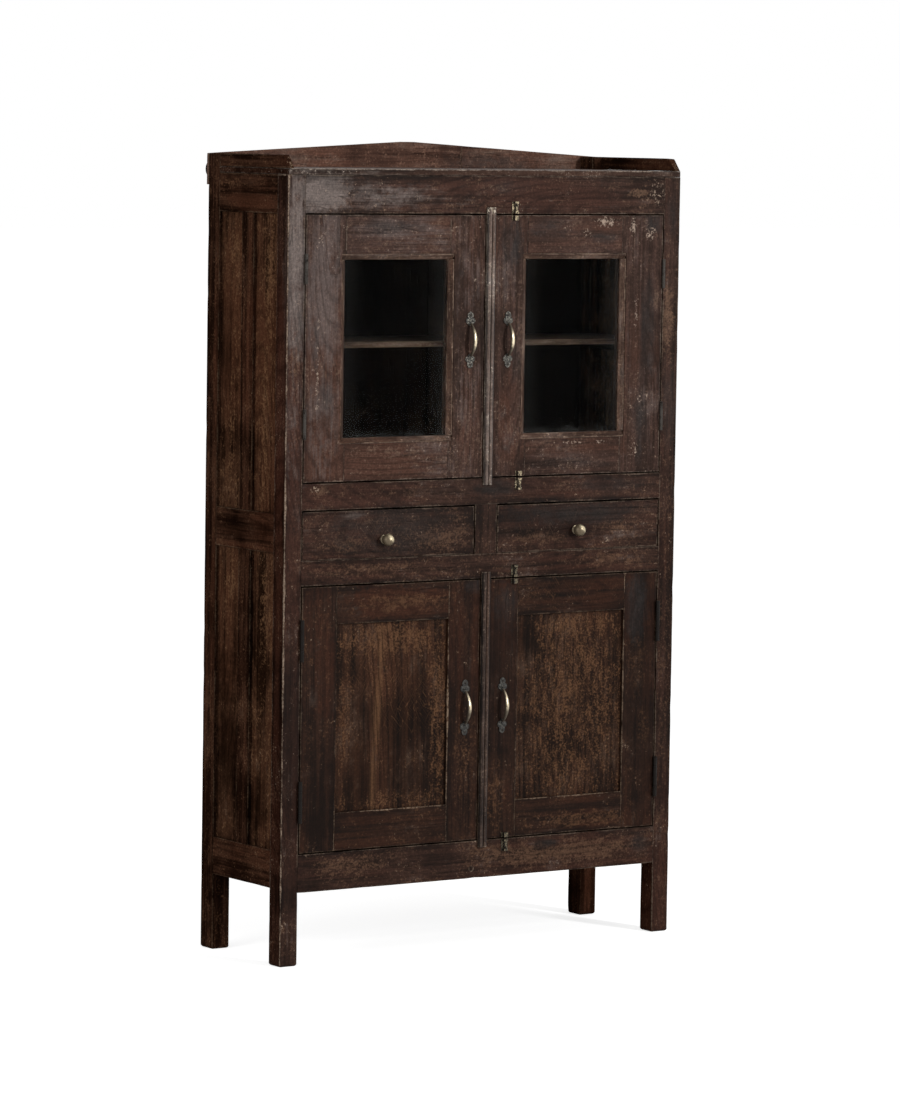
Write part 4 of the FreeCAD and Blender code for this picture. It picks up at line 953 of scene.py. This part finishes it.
def hinge_screws(material):
    """Three flat screws in each hinge leaf, seen once a door is open."""
    frame_places = []
    for tier in TIERS:
        for side_name, way in zip(SIDES, (-1.0, 1.0)):
            places = []
            for low, high in solid_boxes(f"{tier}_{side_name}_hinge_leaves"):
                depth = between(FACE_Y * MM, high.y, HINGE_SCREW_DEPTH)
                face = (low.x + high.x) / 2 + way * HINGE_FACE
                for share in HINGE_SCREW_SHARES:
                    level = between(low.z, high.z, share)
                    places.append(((face, depth, level), (way, 0.0, 0.0)))
                    frame_places.append(((face + way * HINGE_GAP, depth, level), (-way, 0.0, 0.0)))
            heads(f"{tier}_{side_name}_hinge_screws", material, f"{tier}_{side_name}_door", "hinge_steel",
                  places, *HINGE_SCREW)
    heads("hinge_frame_screws", material, "carcass", "iron", frame_places, *HINGE_SCREW)


def plate_nails(name, material, body, node, shares):
    """Nails at both borders of each plate of a node, at the given shares of its height."""
    places = [((x, FACE_Y * MM - PLATE_THICKNESS, between(low.z, high.z, share)), FORWARD)
              for low, high in solid_boxes(node)
              for x in (low.x + PLATE_NAIL_INSET, high.x - PLATE_NAIL_INSET)
              for share in shares]
    heads(name, material, body, "brass", places, *PLATE_NAIL, slotted=False)


def bolt_nails(material):
    """Nails in the bolts' plates and keeps."""
    plate_nails("bolt_guide_nails", material, "carcass", "bolt_guides", PLATE_NAIL_SHARES)
    for tier in TIERS:
        plate_nails(f"{tier}_bolt_keep_nails", material, f"{tier}_right_door", f"{tier}_bolt_keeps", (0.5,))


def back_nails(material):
    """Nails that hold the back boards to the rails in front of them."""
    low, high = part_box("back_boards")
    run = high.x - low.x - 2 * BACK_NAIL_INSET
    count = round(run / BACK_NAIL_PITCH)
    places = []
    for rail_low, rail_high in solid_boxes("back_rails"):
        level = (max(rail_low.z, low.z) + min(rail_high.z, high.z)) / 2
        for index in range(count + 1):
            jitter = random.uniform(-1, 1) * BACK_NAIL_JITTER
            x = low.x + BACK_NAIL_INSET + run * index / count + jitter
            places.append(((x, high.y - UNEVEN, level + jitter), BACKWARD))
    heads("back_board_nails", material, "carcass", "iron", places, *BACK_NAIL, slotted=False)


def dress(node, material):
    """Gives a node that stays as it is its finish."""
    node_object = frame["nodes"][node]
    for index in range(len(node_object.data.materials)):
        node_object.data.materials[index] = material


# Studio

LAMP_TARGET = (0.0, 0.0, 0.9)
# The place, the width and height, and the power of each lamp
KEY_LAMP = ((2.2, -6.2, 3.2), (0.6, 2.2), 248)
FILL_LAMP = ((-6.2, -1.6, 2.6), (3.0, 3.0), 122)
AMBIENT = 0.40
WHITE = (1.0, 1.0, 1.0, 1.0)
FLOOR_COLOUR = (0.80, 0.80, 0.80, 1.0)
FLOOR_ROUGHNESS = 0.9
FLOOR_LIFT = 0.70
FLOOR_HALF = 60.0


def make_camera():
    """The camera that sees the cupboard as the photograph does."""
    yaw, down, roll = (math.radians(turn) for turn in CAMERA_TURNS_DEG)
    ahead = Vector((math.sin(yaw) * math.cos(down), math.cos(yaw) * math.cos(down), -math.sin(down)))
    level = Vector((math.cos(yaw), -math.sin(yaw), 0.0))
    upright = level.cross(ahead)
    right = math.cos(roll) * level + math.sin(roll) * upright
    up = -math.sin(roll) * level + math.cos(roll) * upright
    data = bpy.data.cameras.new("camera")
    data.lens, data.sensor_width, data.clip_end = CAMERA_LENS, CAMERA_SENSOR, CAMERA_REACH
    camera = add_object("camera", data)
    turn = Matrix((right, up, -ahead)).transposed().to_4x4()
    camera.matrix_world = Matrix.Translation(CAMERA_PLACE) @ turn
    bpy.context.scene.camera = camera


def add_lamp(name, place, size, power):
    """A soft lamp that is turned towards the middle of the cupboard."""
    data = bpy.data.lights.new(name, "AREA")
    data.shape, data.energy = "RECTANGLE", power
    data.size, data.size_y = size
    lamp = add_object(name, data)
    lamp.location = place
    lamp.rotation_euler = (Vector(LAMP_TARGET) - Vector(place)).to_track_quat("-Z", "Y").to_euler()


def make_world():
    """Even light from all round, and plain white behind the object."""
    graph = Graph("studio", "worlds")
    strength = graph.seen_directly() * (1.0 - AMBIENT) + AMBIENT
    shader = graph.node("Background", {"Color": WHITE, "Strength": strength})
    bpy.context.scene.world = graph.finish(shader, "OutputWorld")


def make_floor():
    """A pale floor that keeps the shadow and meets the white behind it."""
    graph = Graph("floor")
    lift = graph.seen_directly() * FLOOR_LIFT
    material = graph.surface(Base_Color=FLOOR_COLOUR, Roughness=FLOOR_ROUGHNESS, Specular_IOR_Level=0.0,
                             Emission_Color=WHITE, Emission_Strength=lift)
    mesh = bpy.data.meshes.new("floor")
    corners = [(-FLOOR_HALF, -FLOOR_HALF, 0), (FLOOR_HALF, -FLOOR_HALF, 0),
               (FLOOR_HALF, FLOOR_HALF, 0), (-FLOOR_HALF, FLOOR_HALF, 0)]
    mesh.from_pydata(corners, [], [(0, 1, 2, 3)])
    mesh.materials.append(material)
    add_object("floor", mesh)


def make_studio():
    make_camera()
    make_world()
    make_floor()
    add_lamp("key", *KEY_LAMP)
    add_lamp("fill", *FILL_LAMP)
    bpy.context.scene.view_settings.view_transform = "Standard"


# The cupboard

REED_RADIUS = 4.0 * MM
# Painted shade in the reeds' groove and inside the back: where it starts and stops before a depth, and the
# share left
REED_GROOVE_SHADE = (1.8 * MM, 0.2 * MM, 0.3)
BACK_INSIDE_SHADE = (3 * MM, 5 * MM, 0.15)
PANEL_HEART = (0.0, 0.110, 0.035)
CASE_NODES = ("front_posts", "top_front_rail", "upper_drawer_rail", "lower_drawer_rail",
              "bottom_front_rail", "drawer_divider", "left_drawer_front", "right_drawer_front")
SIDE_NODES = ("rear_posts", "side_rails", "side_muntins")
INNER_NODES = ("back_rails", "lower_deck", "upper_deck", "shelf_cleats", "drawer_runners")


def make_front(inner):
    """The front of the case, the doors and the drawers."""
    # The case is painted darker on its faces that look sideways, as shade
    case = wood("case_teak", CASE_TONES, CASE_PATCHES, haze_and_sheen=-0.45, chips=-0.5, arris=0.3,
                low_tint=(0.76, 0.70, 0.66), side_face_shade=(0.74, 0.66, 0.62))
    upper_doors = wood("upper_door_teak", UPPER_TONES, UPPER_DOOR_PATCHES, haze_and_sheen=-0.25, chips=-0.4, arris=0.35)
    lower_doors = wood("lower_door_teak", LOWER_TONES, LOWER_DOOR_PATCHES, haze_and_sheen=-0.35, bare=-0.2, chips=-0.5,
                       arris=0.25)
    panels = wood("panel_teak", PANEL_TONES, PANEL_PATCHES, chips=-0.4, rings=0.5, gloss=0.04)
    repair_patches = front("edge", (-410, 1500, 12, 80, 1.2)) + front("red", (-390, 1440, 30, 14, 2.0))
    repair = wood("repair_teak", UPPER_TONES, repair_patches, haze_and_sheen=0.7, chips=0.0, arris=0.2)
    plug = wood("plug_teak", CASE_TONES, haze_and_sheen=-0.2, arris=0.5, low_tint=(0.84, 0.76, 0.70))
    beads = wood("bead_teak", BEAD_TONES, haze_and_sheen=0.1, chips=-0.2, arris=0.6)
    # Painted shade in the groove between the reeds
    shaded_hollow = (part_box("upper_astragal")[0].y + REED_RADIUS, *REED_GROOVE_SHADE)
    reeds = wood("astragal_teak", REED_TONES, front("chips", (4, 1572, 20, 14, 1.6)), haze_and_sheen=0.1,
                 shaded_hollow=shaded_hollow, gloss=0.28, rough=0.3)
    low_reeds = wood("lower_astragal_teak", LOW_REED_TONES, haze_and_sheen=-0.1, shaded_hollow=shaded_hollow, gloss=0.14, rough=0.3)

    for node in CASE_NODES:
        wooden(node, case)
    for side_name in SIDES:
        for part in ("stiles", "rails"):
            wooden(f"upper_{side_name}_door_{part}", upper_doors)
            wooden(f"lower_{side_name}_door_{part}", lower_doors)
        wooden(f"upper_{side_name}_beads", beads)
        wooden(f"{side_name}_drawer_box", inner)
    wooden("lower_left_panel", panels, heart=PANEL_HEART)
    wooden("lower_right_panel", panels)
    inlays(repair, plug)
    wooden("upper_astragal", reeds, smooth=True)
    wooden("lower_astragal", low_reeds, smooth=True)


def make_rest(inner):
    """The sides, the top with its gallery, the back and the insides."""
    sides = wood("side_teak", SIDE_TONES, SIDE_PATCHES, haze_and_sheen=-0.4, chips=-0.5, arris=0.3, gloss=0.0)
    side_panels = wood("side_panel_teak", SIDE_PANEL_TONES, SIDE_PANEL_PATCHES, haze_and_sheen=-0.4, bare=0.05,
                       chips=-0.5, gloss=0.0)
    # The gallery's haze is a dull film and painted sheen
    gallery_patches = (front("smoke", (230, 1668, 150, 26, 0.8), (-330, 1675, 90, 20, 0.5), depth=GALLERY_Y)
                       + front("haze_and_sheen", (400, 1665, 70, 30, 0.8), depth=GALLERY_Y))
    gallery = wood("gallery_teak", GALLERY_TONES, gallery_patches, chips=-0.5)
    # The top is painted darker on its ends that look sideways, as shade
    top = wood("top_teak", TOP_TONES, TOP_PATCHES, haze_and_sheen=-0.5, arris=0.15, side_face_shade=(0.62, 0.48, 0.40))
    # The back boards are painted dark on their inside face, as shade
    back = wood("back_teak", BACK_TONES, haze_and_sheen=-0.2, chips=-1.0, arris=0.0, gloss=0.0,
                shaded_hollow=(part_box("back_boards")[1].y, *BACK_INSIDE_SHADE))
    # The shelves are painted lighter, as lit through the panes
    shelf = wood("lit_shelf_teak", LIT_SHELF_TONES, chips=-0.6, gloss=0.03)

    for node in SIDE_NODES:
        wooden(node, sides)
    wooden("side_panels", side_panels)
    wooden("top_board", top)
    wooden("side_galleries", sides, all_arrises=True)
    wooden("back_gallery", gallery, all_arrises=True)
    wooden("shelves", shelf)
    wooden("back_boards", back, tight_axis=0)
    for node in INNER_NODES:
        wooden(node, inner)


def make_wood():
    # The wood inside is painted near black, as shade
    inner = wood("shaded_inner_teak", SHADED_INNER_TONES, haze_and_sheen=-0.5, chips=-1.0, gloss=0.0)
    make_front(inner)
    make_rest(inner)


def make_metal():
    """The finishes of the handles, knobs, bolts, hinges and panes, with their screws and nails."""
    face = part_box("upper_left_door_stiles")[0].y
    for tier in TIERS:
        low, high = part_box(f"{tier}_left_handle")
        most_lit_and_rubbed = ((low.z + high.z) / 2 + HIGHLIGHT_AND_RUB_RISE[tier], HIGHLIGHT_AND_RUB_REACH)
        finish = brass(f"{tier}_handle_brass", BOW_RUBBED_AND_HIGHLIGHT, BOW_TARNISH_AND_SHADE, 0.2, LIT_AND_RUBBED_SIDE, most_lit_and_rubbed,
                       (face - LEAF_REACH, *LEAF_COLOURS[tier]))
        for side_name in SIDES:
            dress(f"{tier}_{side_name}_handle", finish)
    # The knobs and bolts carry painted highlight on their lit side and painted shade on the other
    knob = brass("knob_brass", (222, 206, 172), (92, 80, 62), 0.2, (0.5, -0.6, 0.6))
    bolts = brass("bolt_brass", (152, 138, 112), (44, 36, 28), 0.34, (0.2, -0.95, 0.2), low_shade=0.4,
                  pitted=True)
    steel = iron("hinge_steel", (62, 58, 54), (24, 18, 15), 0.0)
    dark_iron = iron("dark_iron", (24, 21, 19), (20, 14, 11), 0.02)
    hinge_iron = iron("hinge_iron", (24, 21, 19), (20, 14, 11), 0.0, (58, 54, 50))
    for side_name in SIDES:
        dress(f"{side_name}_drawer_knob", knob)
        pane = f"upper_{side_name}_glass"
        dress(pane, old_glass(f"{side_name}_glass", *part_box(pane)))
        dress(f"upper_{side_name}_hinge_leaves", steel)
        dress(f"lower_{side_name}_hinge_leaves", dark_iron)
    for tier in TIERS:
        for node in ("bolt_keeps", "top_bolt_rod", "foot_bolt_rod"):
            dress(f"{tier}_{node}", bolts)
    dress("bolt_guides", bolts)
    dress("hinge_frame_leaves", hinge_iron)
    dress("hinge_pins", steel)
    dress("rear_staple", dark_iron)
    handle_screws(steel)
    hinge_screws(steel)
    bolt_nails(bolts)
    back_nails(dark_iron)


random.seed(SCENE_SEED)
make_wood()
make_metal()
make_studio()
